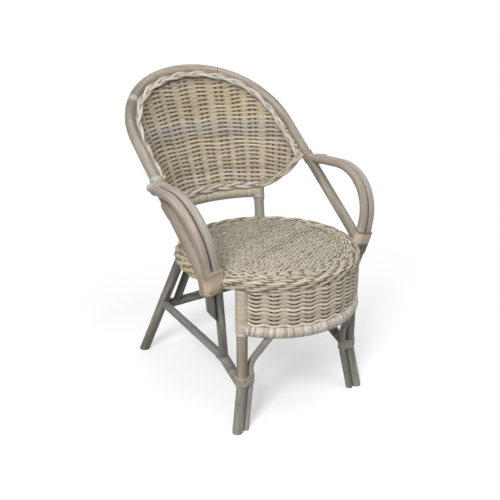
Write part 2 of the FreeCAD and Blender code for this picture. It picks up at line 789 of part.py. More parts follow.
def reversed_copy(edges):
    """The same edges, run through from the other end."""
    turned = []
    for edge in reversed(edges):
        first = end_of(edge)
        middle = edge.valueAt((edge.FirstParameter + edge.LastParameter) / 2)
        last = start_of(edge)
        straight = edge.Curve.TypeId == "Part::GeomLine"
        curve = Part.LineSegment(first, last) if straight else Part.Arc(first, middle, last)
        turned.append(curve.toShape())
    return turned


def closed_band(front, back):
    """A closed outline from a front edge and a back edge."""
    back = reversed_copy(back)
    right = Part.LineSegment(end_of(front[-1]), start_of(back[0])).toShape()
    left = Part.LineSegment(end_of(back[-1]), start_of(front[0])).toShape()
    return Part.Wire(front + [right] + back + [left])


def make_back_panel():
    """A ruled loft from a bow on the rail to the inside of the hoop."""
    inset = radius_of("hoop") + gap
    outer = arch_stations(inset)
    inner = arch_stations(inset + size("panel_top_band"))
    half_weave = size("weave_thickness") / 2
    rail = size("back_rail_radius")
    foot = panel_foot_height()
    low_front = foot_bow(rail - half_weave, arch_shares(inner), foot)
    low_back = foot_bow(rail + half_weave, arch_shares(outer), foot)
    low = add_shape("back_panel_foot", closed_band(low_front, low_back))
    high = add_shape("back_panel_arch", closed_band(inner, outer))
    panel = doc.addObject("Part::Loft", "back_panel_plain")
    panel.Sections = [low, high]
    panel.Solid = True
    panel.Ruled = True
    return fuse("back_panel", [panel] + make_back_ribs())


def back_rulings():
    """Lines from the rail's bow to the inside of the hoop, evenly spread over the weave."""
    arch = Part.Wire(arch_stations(radius_of("hoop") + gap + size("panel_top_band") / 2))
    high = arch.discretize(Number=RULINGS)
    half = math.asin(size("upright_spread") / size("back_rail_radius"))
    bow = size("back_rail_radius")
    lines = []
    for number, end in enumerate(high):
        angle = half * (2 * number / (RULINGS - 1) - 1)
        lines.append((point(bow * math.sin(angle), bow * math.cos(angle), panel_foot_height()), end))
    return lines


def weave_row(rulings, z):
    """Places across the woven back at one height, as far as the margin below the hoop."""
    row = []
    for low, high in rulings:
        at = on_line(low, high, z)
        if (high - at).dot(high - low) > size("back_rib_margin") * (high - low).Length:
            row.append(at)
    return row


def at_distance(row, distance):
    """The place on a row at a distance from its middle, or None near or past its ends."""
    travelled = [0.0]
    for first, last in zip(row, row[1:]):
        travelled.append(travelled[-1] + (last - first).Length)
    wanted = travelled[-1] / 2 + distance
    if not size("back_rib_margin") < wanted < travelled[-1] - size("back_rib_margin"):
        return None
    after = next(i for i, length in enumerate(travelled) if length >= wanted)
    share = (wanted - travelled[after - 1]) / (travelled[after] - travelled[after - 1])
    return row[after - 1] + (row[after] - row[after - 1]) * share


def make_back_ribs():
    """Upright ridges where the strands pass round the stakes, fanned out upwards."""
    rulings = back_rulings()
    foot = panel_foot_height()
    rise = size("hoop_top_height") - foot
    heights = [foot + size("back_rib_margin") + RIB_STEP * i for i in range(int(rise / RIB_STEP))]
    rows = [(z, weave_row(rulings, z)) for z in heights]
    rows = [(z, row) for z, row in rows if len(row) > 2]
    count = int(size("hoop_half_width") / size("back_rib_low_spacing")) + 1
    ribs = []
    for number in range(-count, count + 1):
        places = []
        for z, row in rows:
            fan = (z - foot) / rise
            spacing = size("back_rib_low_spacing") * (1 - fan) + size("back_rib_high_spacing") * fan
            shift = size("back_rib_shift") / size("back_rib_low_spacing")
            place = at_distance(row, (number + shift) * spacing)
            if place:
                places.append(place)
        if len(places) > RIB_POINTS:
            picked = [places[round(i * (len(places) - 1) / (RIB_POINTS - 1))] for i in range(RIB_POINTS)]
            curve = Part.BSplineCurve()
            curve.interpolate(picked)
            route = Part.Wire([curve.toShape()])
            ribs.append(sweep_round(f"back_rib_{number + count}", route, "Sizes.back_rib_diameter / 2"))
    return ribs


def braid_seat():
    """The upper border's inset in the hoop's plane and its lift in front of that plane."""
    slope = math.radians(size("hoop_slope"))
    down = FreeCAD.Vector(0, -math.cos(slope), -math.sin(slope))
    front = FreeCAD.Vector(0, -math.sin(slope), math.cos(slope))
    edge = radius_of("hoop") + gap + size("panel_top_band")
    low = point(0, size("back_rail_radius") - size("weave_thickness") / 2, panel_foot_height())
    fall = (low - hoop_point(0, edge)).normalize()
    face = FreeCAD.Vector(1, 0, 0).cross(fall) * -1
    place = fall * size("braid_depth") + face * (radius_of("braid") + gap)
    return edge + place.dot(down), front * place.dot(front)


def make_arch_braid():
    """Plaited border that lies on the front of the weave, just inside the hoop."""
    inset, lift = braid_seat()
    wire = Part.Wire(arch_stations(inset))
    wire.translate(lift)
    return sweep_round("back_braid_arch", wire, "Sizes.braid_diameter / 2")


def make_rail_braid():
    """Plaited border in front of the weave's foot, along the back rail."""
    half = BRAID_SHARE * math.asin(size("upright_spread") / size("back_rail_radius"))
    braid = doc.addObject("Part::Torus", "back_braid_rail")
    braid.setExpression("Radius1", "Sizes.back_rail_radius - Sizes.weave_thickness / 2 "
                                   "- Sizes.braid_diameter / 2 - Sizes.fit_gap")
    braid.setExpression("Radius2", "Sizes.braid_diameter / 2")
    braid.Angle3 = math.degrees(2 * half)
    rotation = FreeCAD.Rotation(FreeCAD.Vector(0, 0, 1), QUARTER_TURN - math.degrees(half))
    height = panel_foot_height() + radius_of("braid")
    braid.Placement = FreeCAD.Placement(FreeCAD.Vector(0, seat_y, height), rotation)
    return braid


def make_side_braid():
    """Plaited border along the weave's slanting edge, from the rail's end to the hoop."""
    half = math.asin(size("upright_spread") / size("back_rail_radius"))
    bow = size("back_rail_radius")
    foot = point(-bow * math.sin(half), bow * math.cos(half), panel_foot_height())
    inset = radius_of("hoop") + gap + size("panel_top_band") / 2
    shoulder = below_top_at_height(size("panel_shoulder_height"))
    top = hoop_point(inset - size("hoop_half_width"), shoulder)
    edge = top - foot
    foot_out = edge.cross(FreeCAD.Vector(-math.sin(half), math.cos(half), 0)).normalize()
    top_out = edge.cross(FreeCAD.Vector(-1, 0, 0)).normalize()
    stand_off = radius_of("braid") + 3 * gap
    ends = []
    for share in SIDE_BRAID_SHARES:
        out = (foot_out * (1 - share) + top_out * share).normalize()
        ends.append(foot + edge * share + out * stand_off)
    return straight_sleeve("back_braid_left", ends[0], ends[1], "Sizes.braid_diameter / 2")


def make_corner_wrap():
    """Peel wound round an upright below the back rail."""
    start = run_on(rear_knee, upright_top, -size("corner_wrap_length"))
    above_rail = run_on(rear_knee, upright_top, size("rear_leg_diameter"))
    rule = "Sizes.rear_leg_diameter / 2 + Sizes.peel_thickness"
    return straight_sleeve("corner_wrap_left_roll", start, above_rail, rule)


# Assembly: raw poles first, then each piece coped to what it meets

nodes = {}


def keep(name, feature):
    """Name a finished piece."""
    feature.Label = name
    nodes[name] = feature
    return feature


def keep_pair(name, left):
    """Name a left-hand piece and add its right-hand twin."""
    keep(f"{name}_left", left)
    return keep(f"{name}_right", mirror(f"{name}_right", left))


hoop = keep("back_hoop", make_hoop())
seat_ring = keep("seat_ring", ring("seat_ring", "Sizes.seat_ring_radius", "Sizes.seat_ring_diameter / 2",
                                   "Sizes.seat_ring_height"))
ring_clearance = ring("seat_ring_clearance", "Sizes.seat_ring_radius",
                      "Sizes.seat_ring_diameter / 2 + Sizes.fit_gap", "Sizes.seat_ring_height")
rim_whole = make_rim_wrap()
floor_slab = level_slab("floor_slab", -trim_depth)
upper_slab = level_slab("upright_slab", upright_top_height)

rear_leg = cut("rear_leg_left", make_rear_leg(), [floor_slab, upper_slab, seat_ring])
rear_leg_twin = keep_pair("rear_leg", rear_leg)
front_leg = cut("front_leg_left", make_front_leg(), [floor_slab, seat_ring, rim_whole])
keep_pair("front_leg", front_leg)

stretcher_raw = make_side_stretcher()
inner_raw, outer_raw = make_arm_poles()
inner_pole = cut("arm_inner_pole_left", inner_raw, [hoop, seat_ring, stretcher_raw])
inner_twin = keep_pair("arm_inner_pole", inner_pole)
outer_pole = cut("arm_outer_pole_left", outer_raw, [hoop])
keep_pair("arm_outer_pole", outer_pole)

arm_poles = [hoop, inner_pole, outer_pole]
keep_pair("arm_strap", cut("arm_strap_left", make_arm_strap(), arm_poles))
keep_pair("arm_collar", cut("arm_collar_left", make_arm_collar(), arm_poles))
post_binding = cut("post_binding_left", make_post_binding(), arm_poles + [seat_ring])
binding_twin = keep_pair("post_binding", post_binding)

rim_tools = [hoop, rear_leg, rear_leg_twin, inner_pole, inner_twin, post_binding, binding_twin]
rim_wrap = keep("seat_rim_wrap", cut("seat_rim_wrap", rim_whole, rim_tools))
for bar_name, bar_side in (("seat_bar_front", -1), ("seat_bar_rear", 1)):
    keep(bar_name, cut(bar_name, make_seat_bar(bar_name, bar_side), [seat_ring]))
keep("seat_panel", cut("seat_panel", make_seat_panel(), [seat_ring, rim_wrap]))

apron_rail_raw = apron_ring("apron_rail_bow", "Sizes.apron_rail_diameter / 2")
apron_roll = apron_ring("apron_rail_roll", "Sizes.apron_rail_diameter / 2 + Sizes.peel_thickness")
leg_wrap_raw = make_leg_wrap()
leg_wrap = cut("leg_wrap_left", leg_wrap_raw, [front_leg, seat_ring, rim_whole])
keep_pair("leg_wrap", leg_wrap)
leg_wrap_twin = mirror("leg_wrap_right_roll", leg_wrap_raw)
wraps = [leg_wrap_raw, leg_wrap_twin]
keep("apron_rail", cut("apron_rail", apron_rail_raw, wraps))
keep("apron_rail_wrap", cut("apron_rail_wrap", apron_roll, [apron_rail_raw] + wraps))
apron_tools = [apron_roll, ring_clearance, rim_whole] + wraps
keep("apron_panel", cut("apron_panel", make_apron_wall(), apron_tools))

knee_brace = cut("knee_brace_left", make_knee_brace(), [floor_slab, apron_roll])
keep_pair("knee_brace", knee_brace)
leg_binding = cut("leg_binding_left", make_leg_binding(), [front_leg, knee_brace])
keep_pair("leg_binding", leg_binding)
stretcher_tools = [rear_leg, front_leg, leg_binding]
side_stretcher = cut("side_stretcher_left", stretcher_raw, stretcher_tools)
stretcher_twin = keep_pair("side_stretcher", side_stretcher)
wrap_tools = [side_stretcher, inner_pole, front_leg, leg_binding]
keep_pair("stretcher_wrap", cut("stretcher_wrap_left", make_stretcher_wrap(), wrap_tools))
rear_stretcher_tools = [rear_leg, rear_leg_twin, side_stretcher, stretcher_twin]
rear_stretcher = keep("rear_stretcher", cut("rear_stretcher", make_rear_stretcher(), rear_stretcher_tools))
keep_pair("rear_brace", cut("rear_brace_left", make_rear_brace(), [rear_stretcher, seat_ring, rim_wrap]))

rail_raw = make_rail("back_rail_bow", "Sizes.back_rail_diameter / 2")
corner_roll = make_corner_wrap()
corner_twin = mirror("corner_roll_right", corner_roll)
keep("back_rail", cut("back_rail", rail_raw, [rear_leg, rear_leg_twin]))
keep_pair("corner_wrap", cut("corner_wrap_left", corner_roll, [rear_leg, rail_raw, upper_slab]))
rail_roll = make_rail("back_rail_roll", "Sizes.back_rail_diameter / 2 + Sizes.peel_thickness")
keep("back_rail_wrap", cut("back_rail_wrap", rail_roll, [rail_raw, corner_roll, corner_twin]))
keep("back_panel", make_back_panel())
keep("back_braid_arch", make_arch_braid())
keep("back_braid_rail", make_rail_braid())
keep_pair("back_braid", make_side_braid())

doc.recompute()


def faults():
    """Objects that failed to build and pieces that aren't one sound solid."""
    found = [item.Name for item in doc.Objects if {"Invalid", "Error"} & set(item.State)]
    for name, feature in nodes.items():
        shape = feature.Shape
        if shape.isNull() or not shape.isValid() or len(shape.Solids) != 1:
            found.append(name)
    return found


broken = faults()
if broken:
    raise RuntimeError("not sound: " + ", ".join(broken))

os.makedirs("parts", exist_ok=True)
for node_name, piece in nodes.items():
    piece.Shape.exportStep(f"parts/{node_name}.step")
    print(f"{node_name}: {piece.Shape.Volume / 1000:.1f} cm3")
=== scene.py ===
import random
from math import asin, ceil, cos, pi, radians, sin, sqrt, tan

import bpy
import numpy as np
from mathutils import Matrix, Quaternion, Vector


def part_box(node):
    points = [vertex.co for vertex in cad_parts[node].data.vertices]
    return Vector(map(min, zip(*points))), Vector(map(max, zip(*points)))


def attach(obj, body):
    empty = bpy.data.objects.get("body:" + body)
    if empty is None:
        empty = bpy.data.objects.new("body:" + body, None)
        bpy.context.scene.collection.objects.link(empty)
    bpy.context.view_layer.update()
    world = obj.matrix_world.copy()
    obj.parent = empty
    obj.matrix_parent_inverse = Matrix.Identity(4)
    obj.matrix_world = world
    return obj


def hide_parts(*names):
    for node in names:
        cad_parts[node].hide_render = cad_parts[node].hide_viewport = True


# The looks of a rattan armchair. Metres, +Z up, the chair faces -Y, left is -X.
# Bent poles with grain along them, strands woven over stakes, twisted borders and wound peel
# take the place of the plain solids.

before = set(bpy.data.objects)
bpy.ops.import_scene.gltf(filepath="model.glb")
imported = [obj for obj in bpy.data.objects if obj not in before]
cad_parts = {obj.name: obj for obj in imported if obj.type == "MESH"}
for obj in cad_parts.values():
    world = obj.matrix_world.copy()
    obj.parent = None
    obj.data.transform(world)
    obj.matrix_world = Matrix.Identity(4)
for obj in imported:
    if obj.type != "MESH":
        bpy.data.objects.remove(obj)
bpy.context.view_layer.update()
dice = random.Random(11)
BODY = "root"
UPWARD = np.array((0.0, 0.0, 1.0))
POINT_STEP = 0.004

# Sizes, the same as in the part's source

SEAT_Y = -0.095775
FIT_GAP = 0.0003
PEEL = 0.0025
HOOP_R = 0.015
REAR_LEG_R = 0.0155
FRONT_LEG_R = 0.015
ARM_R = 0.0125
STRETCHER_R = 0.012
KNEE_BRACE_R = 0.00975
REAR_BRACE_R = 0.0125
REAR_STRETCHER_R = 0.0145
RING_R = 0.013
RAIL_R = 0.015
APRON_RAIL_R = 0.013
RING_RADIUS = 0.245
RING_HEIGHT = 0.431
RING_REACH = RING_RADIUS + RING_R
HOOP_HALF = 0.262
HOOP_TOP = 0.887
HOOP_SETBACK = 0.45205
HOOP_SLOPE = radians(39.5)
HOOP_RADII = [0.08, 0.24, 0.30, 0.24, 0.08]
HOOP_FOOT_Y = -0.0902
HOOP_FOOT_Z = 0.396
ELBOW_Z = 0.440
JOINT_Z = 0.637
POST_ADVANCE = 0.118
ARM_STEP = 2 * ARM_R + 2 * FIT_GAP
BRACE_STEP = FRONT_LEG_R + KNEE_BRACE_R + 3 * FIT_GAP
RAIL_BOW = 0.320
RAIL_HEIGHT = 0.510
UPRIGHT_SPREAD = 0.163
RAIL_HALF = asin(UPRIGHT_SPREAD / RAIL_BOW)
PANEL_FOOT = RAIL_HEIGHT + RAIL_R + PEEL + FIT_GAP
PANEL_SHOULDER = 0.648
LEG_OUT = 0.1905
LEG_AHEAD = 0.1535
APRON_FRONT = 0.260
APRON_RISE = APRON_FRONT - LEG_AHEAD
APRON_RADIUS = (LEG_OUT ** 2 + APRON_RISE ** 2) / (2 * APRON_RISE)
APRON_MIDDLE = APRON_RADIUS - APRON_FRONT
APRON_HALF = asin(LEG_OUT / APRON_RADIUS)
APRON_RAIL_Z = 0.303


def place(x, y, z):
    """A place measured from the seat centre on the floor."""
    return Vector((x, y + SEAT_Y, z))


def leg_at(z):
    """A place on the upright part of the left front leg."""
    return place(-LEG_OUT, -LEG_AHEAD, z)


def behind_on(radius, out, z):
    """A place on a circle round the seat centre, behind it and to the left."""
    return place(-out, sqrt(radius ** 2 - out ** 2), z)


def hoop_point(x, below_top):
    """A place in the hoop's plane, measured down its slope from the crown."""
    setback = HOOP_SETBACK - below_top * cos(HOOP_SLOPE)
    return place(x, setback, HOOP_TOP - below_top * sin(HOOP_SLOPE))


def below_at_height(z):
    """How far down the hoop's slope a height lies."""
    return (HOOP_TOP - z) / sin(HOOP_SLOPE)


def on_line(start, end, z):
    """The place at height z on the line through start and end."""
    return start + (end - start) * ((z - start.z) / (end.z - start.z))


def run_on(start, end, length):
    """The place past the end of a run, on its line."""
    return end + (end - start).normalized() * length


def mirrored(points):
    """The same places on the other side of the chair."""
    return [Vector((-p.x, p.y, p.z)) for p in points]


# Lines

def straight(start, end, step=POINT_STEP):
    """Places from start to end."""
    count = max(1, ceil((end - start).length / step))
    return [start.lerp(end, i / count) for i in range(count + 1)]


def route(corners, radii, step=POINT_STEP):
    """A pole's line: straight runs with a bend at each inner corner."""
    line = [corners[0]]
    for before, corner, after, radius in zip(corners, corners[1:], corners[2:], radii):
        back = (before - corner).normalized()
        ahead = (after - corner).normalized()
        half_turn = (pi - back.angle(ahead)) / 2
        first = corner + back * radius * tan(half_turn)
        last = corner + ahead * radius * tan(half_turn)
        centre = corner + (back + ahead).normalized() * radius / cos(half_turn)
        line += straight(line[-1], first, step)[1:]
        count = max(2, ceil(2 * half_turn * radius / step))
        spoke = first - centre
        axis, angle = spoke.rotation_difference(last - centre).to_axis_angle()
        for i in range(1, count + 1):
            turned = spoke.copy()
            turned.rotate(Quaternion(axis, angle * (i / count)))
            line.append(centre + turned)
    return line + straight(line[-1], corners[-1], step)[1:]


def bow(radius, middle_y, z, start, end, step=POINT_STEP):
    """A level arc from one angle to another, centred on the middle plane."""
    count = max(2, ceil(abs(end - start) * radius / step))
    angles = [start + (end - start) * i / count for i in range(count + 1)]
    return [place(radius * cos(a), middle_y + radius * sin(a), z) for a in angles]


def rail_arc(radius, z):
    """A level arc along the back rail, from left to right."""
    return bow(radius, 0, z, pi / 2 + RAIL_HALF, pi / 2 - RAIL_HALF)


def apron_arc(z):
    """A level arc from the left front leg to the right one."""
    return bow(APRON_RADIUS, APRON_MIDDLE, z, -pi / 2 - APRON_HALF, -pi / 2 + APRON_HALF)


def as_array(line):
    """Places as rows of numbers."""
    return np.array([tuple(p) for p in line], float)


def read_off(wanted, marks, rows):
    """Rows of numbers at the wanted marks, from the rows at known marks."""
    return np.stack([np.interp(wanted, marks, column) for column in np.asarray(rows).T], -1)


def ramp(values, start, reach):
    """0 up to a start, then rising to 1 over a reach."""
    return np.clip((values - start) / reach, 0, 1)


def lengths_along(line):
    """Distance of each place from the line's start."""
    steps = np.linalg.norm(np.diff(line, axis=0), axis=1)
    return np.concatenate([[0.0], np.cumsum(steps)])


def respaced(line, step=POINT_STEP):
    """The same line with its places a given step apart."""
    along = lengths_along(line)
    count = max(2, int(round(along[-1] / step)))
    return read_off(np.linspace(0, along[-1], count + 1), along, line)


def unit(rows):
    """Rows scaled to length one."""
    return rows / np.maximum(np.linalg.norm(rows, axis=-1, keepdims=True), 1e-12)


def tangents(line, closed=False):
    """Direction of travel at each place."""
    if closed:
        return unit(np.roll(line, -1, axis=0) - np.roll(line, 1, axis=0))
    return unit(np.gradient(line, axis=0))


def across(way, steep):
    """A direction to start a normal from: upward, or sideways on a steep line."""
    return (0, 0, 1) if abs(way[2]) < steep else (1, 0, 0)


def carried_normals(ways, first):
    """A normal carried along a line without twist."""
    normal = np.array(first, float)
    normals = []
    for way in ways:
        normal = normal - way * (normal @ way)
        normal = normal / np.linalg.norm(normal)
        normals.append(normal)
    return np.array(normals)


# Colours

def srgb(red, green, blue):
    """A screen colour as linear numbers."""
    return tuple(((c / 255 + 0.055) / 1.055) ** 2.4 for c in (red, green, blue))


def palette(*colours):
    """Several screen colours."""
    return [srgb(*colour) for colour in colours]


def varied(colour, spread):
    """A colour a little lighter or darker, by chance."""
    factor = 1 + dice.uniform(-spread, spread)
    return tuple(c * factor for c in colour)


def blended(values, stops):
    """Colours for values, from (value, colour) pairs in rising order."""
    return read_off(values, [mark for mark, colour in stops], [colour for mark, colour in stops])


# Meshes

STRAND_STEEP = 0.9


def put(name, data):
    """An object in the scene."""
    made = bpy.data.objects.new(name, data)
    bpy.context.scene.collection.objects.link(made)
    return made


class Bundle:
    """Strands or poles collected into one mesh, with what their material reads."""

    def __init__(self):
        self.places = []
        self.faces = []
        self.grain = []
        self.dye = []
        self.dark = []
        self.count = 0

    def add(self, grid, grain, dye, dark, closed=False):
        """Add a grid of places, rings along a line, closed round each ring."""
        rings, sides = grid.shape[:2]
        index = self.count + np.arange(rings * sides).reshape(rings, sides)
        here = index if closed else index[:-1]
        after = np.roll(index, -1, 0)[:len(here)]
        quads = np.stack([here, np.roll(here, -1, 1), np.roll(after, -1, 1), after], -1)
        self.faces += quads.reshape(-1, 4).tolist()
        if not closed:
            self.faces.append(index[0][::-1].tolist())
            self.faces.append(index[-1].tolist())
        self.places.append(grid.reshape(-1, 3))
        self.grain.append(grain.reshape(-1, 3))
        self.dye.append(np.broadcast_to(dye, (rings, sides, 3)).reshape(-1, 3))
        self.dark.append(np.broadcast_to(dark, (rings, sides)).reshape(-1))
        self.count += rings * sides

    def finish(self, name, material, slot, *nodes):
        """Make the piece, seat it on the chair and hide the solids that it stands for."""
        mesh = bpy.data.meshes.new(name)
        mesh.from_pydata(np.concatenate(self.places).tolist(), [], self.faces)
        dye = np.concatenate(self.dye)
        # The dye reading is each place's colour, with painted shade on some parts; the dark reading is mostly
        # painted shade, besides the knot rings of poles and the grooves between turns of peel
        readings = [("grain", "FLOAT_VECTOR", "vector", np.concatenate(self.grain)),
                    ("dye", "FLOAT_COLOR", "color", np.concatenate([dye, np.ones((len(dye), 1))], 1)),
                    ("dark", "FLOAT", "value", np.concatenate(self.dark))]
        for label, kind, field, rows in readings:
            made = mesh.attributes.new(label, kind, "POINT")
            made.data.foreach_set(field, rows.astype(np.float32).ravel())
        mesh.shade_smooth()
        mesh.materials.append(material)
        piece = put(name, mesh)
        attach(piece, BODY)
        if nodes:
            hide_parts(*nodes)


def sweep(bundle, line, thick, tall, dye, sides=8, normals=None, dark=0.0, closed=False, start=0.0, edge=0.0,
          dark_behind=None):
    """A strand along a line: half sizes along its normal and across it, darkened on its faces as asked, which
    is painted shade on strands and the knot rings on poles, and with painted shade on its edges.
    """
    ways = tangents(line, closed)
    if normals is None:
        normals = carried_normals(ways, across(ways[0], STRAND_STEEP))
    else:
        normals = unit(normals - ways * np.sum(normals * ways, -1, keepdims=True))
    sideways = np.cross(ways, normals)
    turn = np.linspace(0, 2 * pi, sides, endpoint=False)
    grain = np.empty((len(line), sides, 3))
    grain[..., 0] = (start + lengths_along(line))[:, None]
    grain[..., 1] = np.reshape(thick, (-1, 1)) * np.cos(turn)
    grain[..., 2] = np.reshape(tall, (-1, 1)) * np.sin(turn)
    grid = line[:, None] + (grain[..., 1:2] * normals[:, None] + grain[..., 2:] * sideways[:, None])
    dark = np.reshape(dark, (-1, 1))
    if dark_behind is not None:
        facing = np.clip(0.5 + np.cos(turn), 0, 1)
        dark = dark * facing + np.reshape(dark_behind, (-1, 1)) * (1 - facing)
    dark = np.clip(dark + np.reshape(edge, (-1, 1)) * np.sin(turn) ** 4, 0, 1)
    if np.ndim(dye) == 2:
        dye = np.asarray(dye)[:, None]
    bundle.add(grid, grain, dye, dark, closed)


# Materials

STREAKS = (9, 300, 300)
STREAK_SEED = 9
BLOTCH_SEED = 5
SEED_SHIFT = (1, 1.7, 0.6)
FIBRE_RANGE = (0.3, 0.7)
WASH_RANGE = (0.45, 0.75)
PATCH_RANGE = (0.25, 0.75)
PATCH_DARK = 1.2
PATCH_PALE = 0.8
STREAK_RANGE = (0.5, 0.68)
ROUGH_SPREAD = 0.1
BUMP_DEPTH = 0.001
SHEEN = 0.3
DEEPEST = 0.22
WHITE = (1, 1, 1, 1)


def fill(tree, made, inputs):
    """Set a shader node's inputs, each to a value or to what another node gives."""
    for key, value in inputs.items():
        if isinstance(value, bpy.types.NodeSocket):
            tree.links.new(value, made.inputs[key])
        else:
            made.inputs[key].default_value = value


def node(tree, kind, inputs=None, **settings):
    """A shader node with its settings and its inputs."""
    made = tree.nodes.new(kind)
    for key, value in settings.items():
        setattr(made, key, value)
    fill(tree, made, inputs or {})
    return made


def attribute(tree, name, output):
    """What the mesh says under a name."""
    return node(tree, "ShaderNodeAttribute", attribute_name=name).outputs[output]


def stretched_noise(tree, where, scale, detail, seed=0.0, rough=0.6):
    """Noise that is long along the grain."""
    shift = [seed * share for share in SEED_SHIFT]
    mapping = node(tree, "ShaderNodeMapping", {"Vector": where, "Scale": scale, "Location": shift})
    noise = node(tree, "ShaderNodeTexNoise", {"Vector": mapping.outputs["Vector"], "Scale": 1.0,
                                              "Detail": detail, "Roughness": rough})
    return noise.outputs["Fac"]


def remapped(tree, value, low, high, to_low, to_high):
    """A value brought from one range to another."""
    ranged = node(tree, "ShaderNodeMapRange", {"Value": value, "From Min": low, "From Max": high,
                                               "To Min": to_low, "To Max": to_high})
    return ranged.outputs["Result"]


def multiplied(tree, colour, factor):
    """A colour scaled by a value."""
    scaled = node(tree, "ShaderNodeVectorMath", {0: colour, "Scale": factor}, operation="SCALE")
    return scaled.outputs["Vector"]


def new_material(name):
    """A material, its tree and its shader."""
    material = bpy.data.materials.new(name)
    material.use_nodes = True
    return material, material.node_tree, material.node_tree.nodes["Principled BSDF"]


def cane_material(name, seed, fibre, blotch, wash, contrast, wash_share, rough, bump, patchy=0.12,
                  streak=0.0):
    """Cane: fibres along the strand, blotches, a greyish wash, dark streaks, and painted shade where it lies
    deep, with the dark rings of the knots.
    """
    material, tree, shader = new_material(name)
    grain = attribute(tree, "grain", "Vector")
    fibres = stretched_noise(tree, grain, fibre, 3.0, seed)
    blotches = stretched_noise(tree, grain, blotch, 2.0, seed + BLOTCH_SEED)
    streaks = stretched_noise(tree, grain, STREAKS, 4.0, seed + STREAK_SEED)
    colour = attribute(tree, "dye", "Color")
    colour = multiplied(tree, colour, remapped(tree, fibres, *FIBRE_RANGE, 1 - contrast, 1 + contrast))
    washed = remapped(tree, blotches, *WASH_RANGE, 0.0, wash_share)
    mix = node(tree, "ShaderNodeMix", {"Factor": washed, 6: colour, 7: (*wash, 1)}, data_type="RGBA")
    patches = remapped(tree, blotches, *PATCH_RANGE, 1 - PATCH_DARK * patchy, 1 + PATCH_PALE * patchy)
    colour = multiplied(tree, mix.outputs[2], patches)
    colour = multiplied(tree, colour, remapped(tree, streaks, *STREAK_RANGE, 1.0, 1 - streak))
    # Painted shade from the dark reading, with the knot rings
    shade_and_rings = remapped(tree, attribute(tree, "dark", "Fac"), 0.0, 1.0, 1.0, DEEPEST)
    bumped = node(tree, "ShaderNodeBump", {"Strength": bump, "Distance": BUMP_DEPTH, "Height": fibres})
    roughness = remapped(tree, fibres, *FIBRE_RANGE, rough + ROUGH_SPREAD, rough - ROUGH_SPREAD)
    fill(tree, shader, {"Base Color": multiplied(tree, colour, shade_and_rings), "Roughness": roughness,
                        "Normal": bumped.outputs["Normal"], "Specular IOR Level": SHEEN})
    return material


def core_material():
    """Cane for solids without grain data: fibres stretched along X."""
    material, tree, shader = new_material("core_cane")
    where = node(tree, "ShaderNodeTexCoord").outputs["Object"]
    fibres = stretched_noise(tree, where, (8, 160, 160), 3.0, rough=0.5)
    ramped = node(tree, "ShaderNodeValToRGB", {"Fac": fibres})
    ramped.color_ramp.elements[0].color = (*srgb(120, 110, 94), 1)
    ramped.color_ramp.elements[1].color = (*srgb(186, 175, 156), 1)
    fill(tree, shader, {"Base Color": ramped.outputs["Color"], "Roughness": 0.6})
    return material


POLE = cane_material("pole_cane", 1.0, (5, 220, 220), (7, 50, 50), srgb(186, 181, 172), contrast=0.2,
                     wash_share=0.5, rough=0.52, bump=0.3, patchy=0.16, streak=0.34)
STRAND = cane_material("weave_cane", 2.0, (14, 700, 700), (22, 120, 120), srgb(196, 187, 172), contrast=0.18,
                       wash_share=0.35, rough=0.6, bump=0.3, patchy=0.2)
WOUND = cane_material("peel_cane", 3.0, (30, 300, 300), (40, 90, 90), srgb(205, 194, 176), contrast=0.12,
                      wash_share=0.35, rough=0.5, bump=0.25)
ROD = cane_material("rod_cane", 4.0, (9, 420, 420), (18, 90, 90), srgb(210, 200, 181), contrast=0.2,
                    wash_share=0.35, rough=0.55, bump=0.3, patchy=0.18)
BAND = cane_material("band_peel", 6.0, (60, 60, 60), (45, 70, 70), srgb(196, 180, 160), contrast=0.08,
                     wash_share=0.3, rough=0.55, bump=0.1, patchy=0.14)
TACK = cane_material("tack_iron", 5.0, (200, 200, 200), (90, 90, 90), srgb(96, 88, 76), contrast=0.1,
                     wash_share=0.3, rough=0.45, bump=0.05)
CORE = core_material()

# Colours read from the photograph

HOOP_DYE = srgb(159, 150, 135)
HOOP_LEFT_DYE = srgb(168, 160, 145)
HOOP_FOOT_DYE = srgb(157, 144, 129)
HOOP_RIGHT_DYE = srgb(145, 136, 120)
HOOP_GREY = srgb(132, 126, 115)
HOOP_BROWN = srgb(174, 159, 142)
SPLICE_DYE = srgb(186, 182, 174)
HOOP_STOPS = [(0.14, HOOP_FOOT_DYE), (0.18, HOOP_LEFT_DYE), (0.25, HOOP_LEFT_DYE), (0.3, HOOP_GREY),
              (0.355, HOOP_GREY), (0.359, SPLICE_DYE), (0.366, SPLICE_DYE), (0.37, HOOP_GREY),
              (0.42, HOOP_DYE), (0.5, HOOP_BROWN), (0.58, HOOP_BROWN), (0.64, HOOP_RIGHT_DYE),
              (0.84, HOOP_RIGHT_DYE), (0.92, HOOP_DYE)]
ARM_COOL_DYE = srgb(174, 166, 156)
ARM_WARM_DYE = srgb(173, 159, 146)
# Painted shade on the arm poles below their bindings
ARM_LOW_SHADE_COLOUR = srgb(122, 121, 115)
ARM_END_DYE = srgb(196, 196, 190)
# Painted shade on the right front leg and its knee brace
RIGHT_LEG_SHADE_COLOUR = srgb(142, 139, 129)
BRACE_DYE = srgb(170, 166, 158)
SIDE_DYE = srgb(138, 139, 132)
SHADE_DYE = srgb(88, 89, 82)
LEG_STOPS = [(0.13, srgb(141, 140, 133)), (0.17, srgb(157, 146, 128))]
REAR_STOPS = [(0.2, srgb(123, 117, 104)), (0.33, SHADE_DYE), (0.41, SHADE_DYE), (0.44, srgb(150, 145, 138))]
BINDING_DYE = srgb(176, 154, 133)
BINDING_PALE = srgb(224, 204, 179)
BINDING_GREY = srgb(208, 193, 171)
BINDING_DARK = srgb(116, 104, 88)
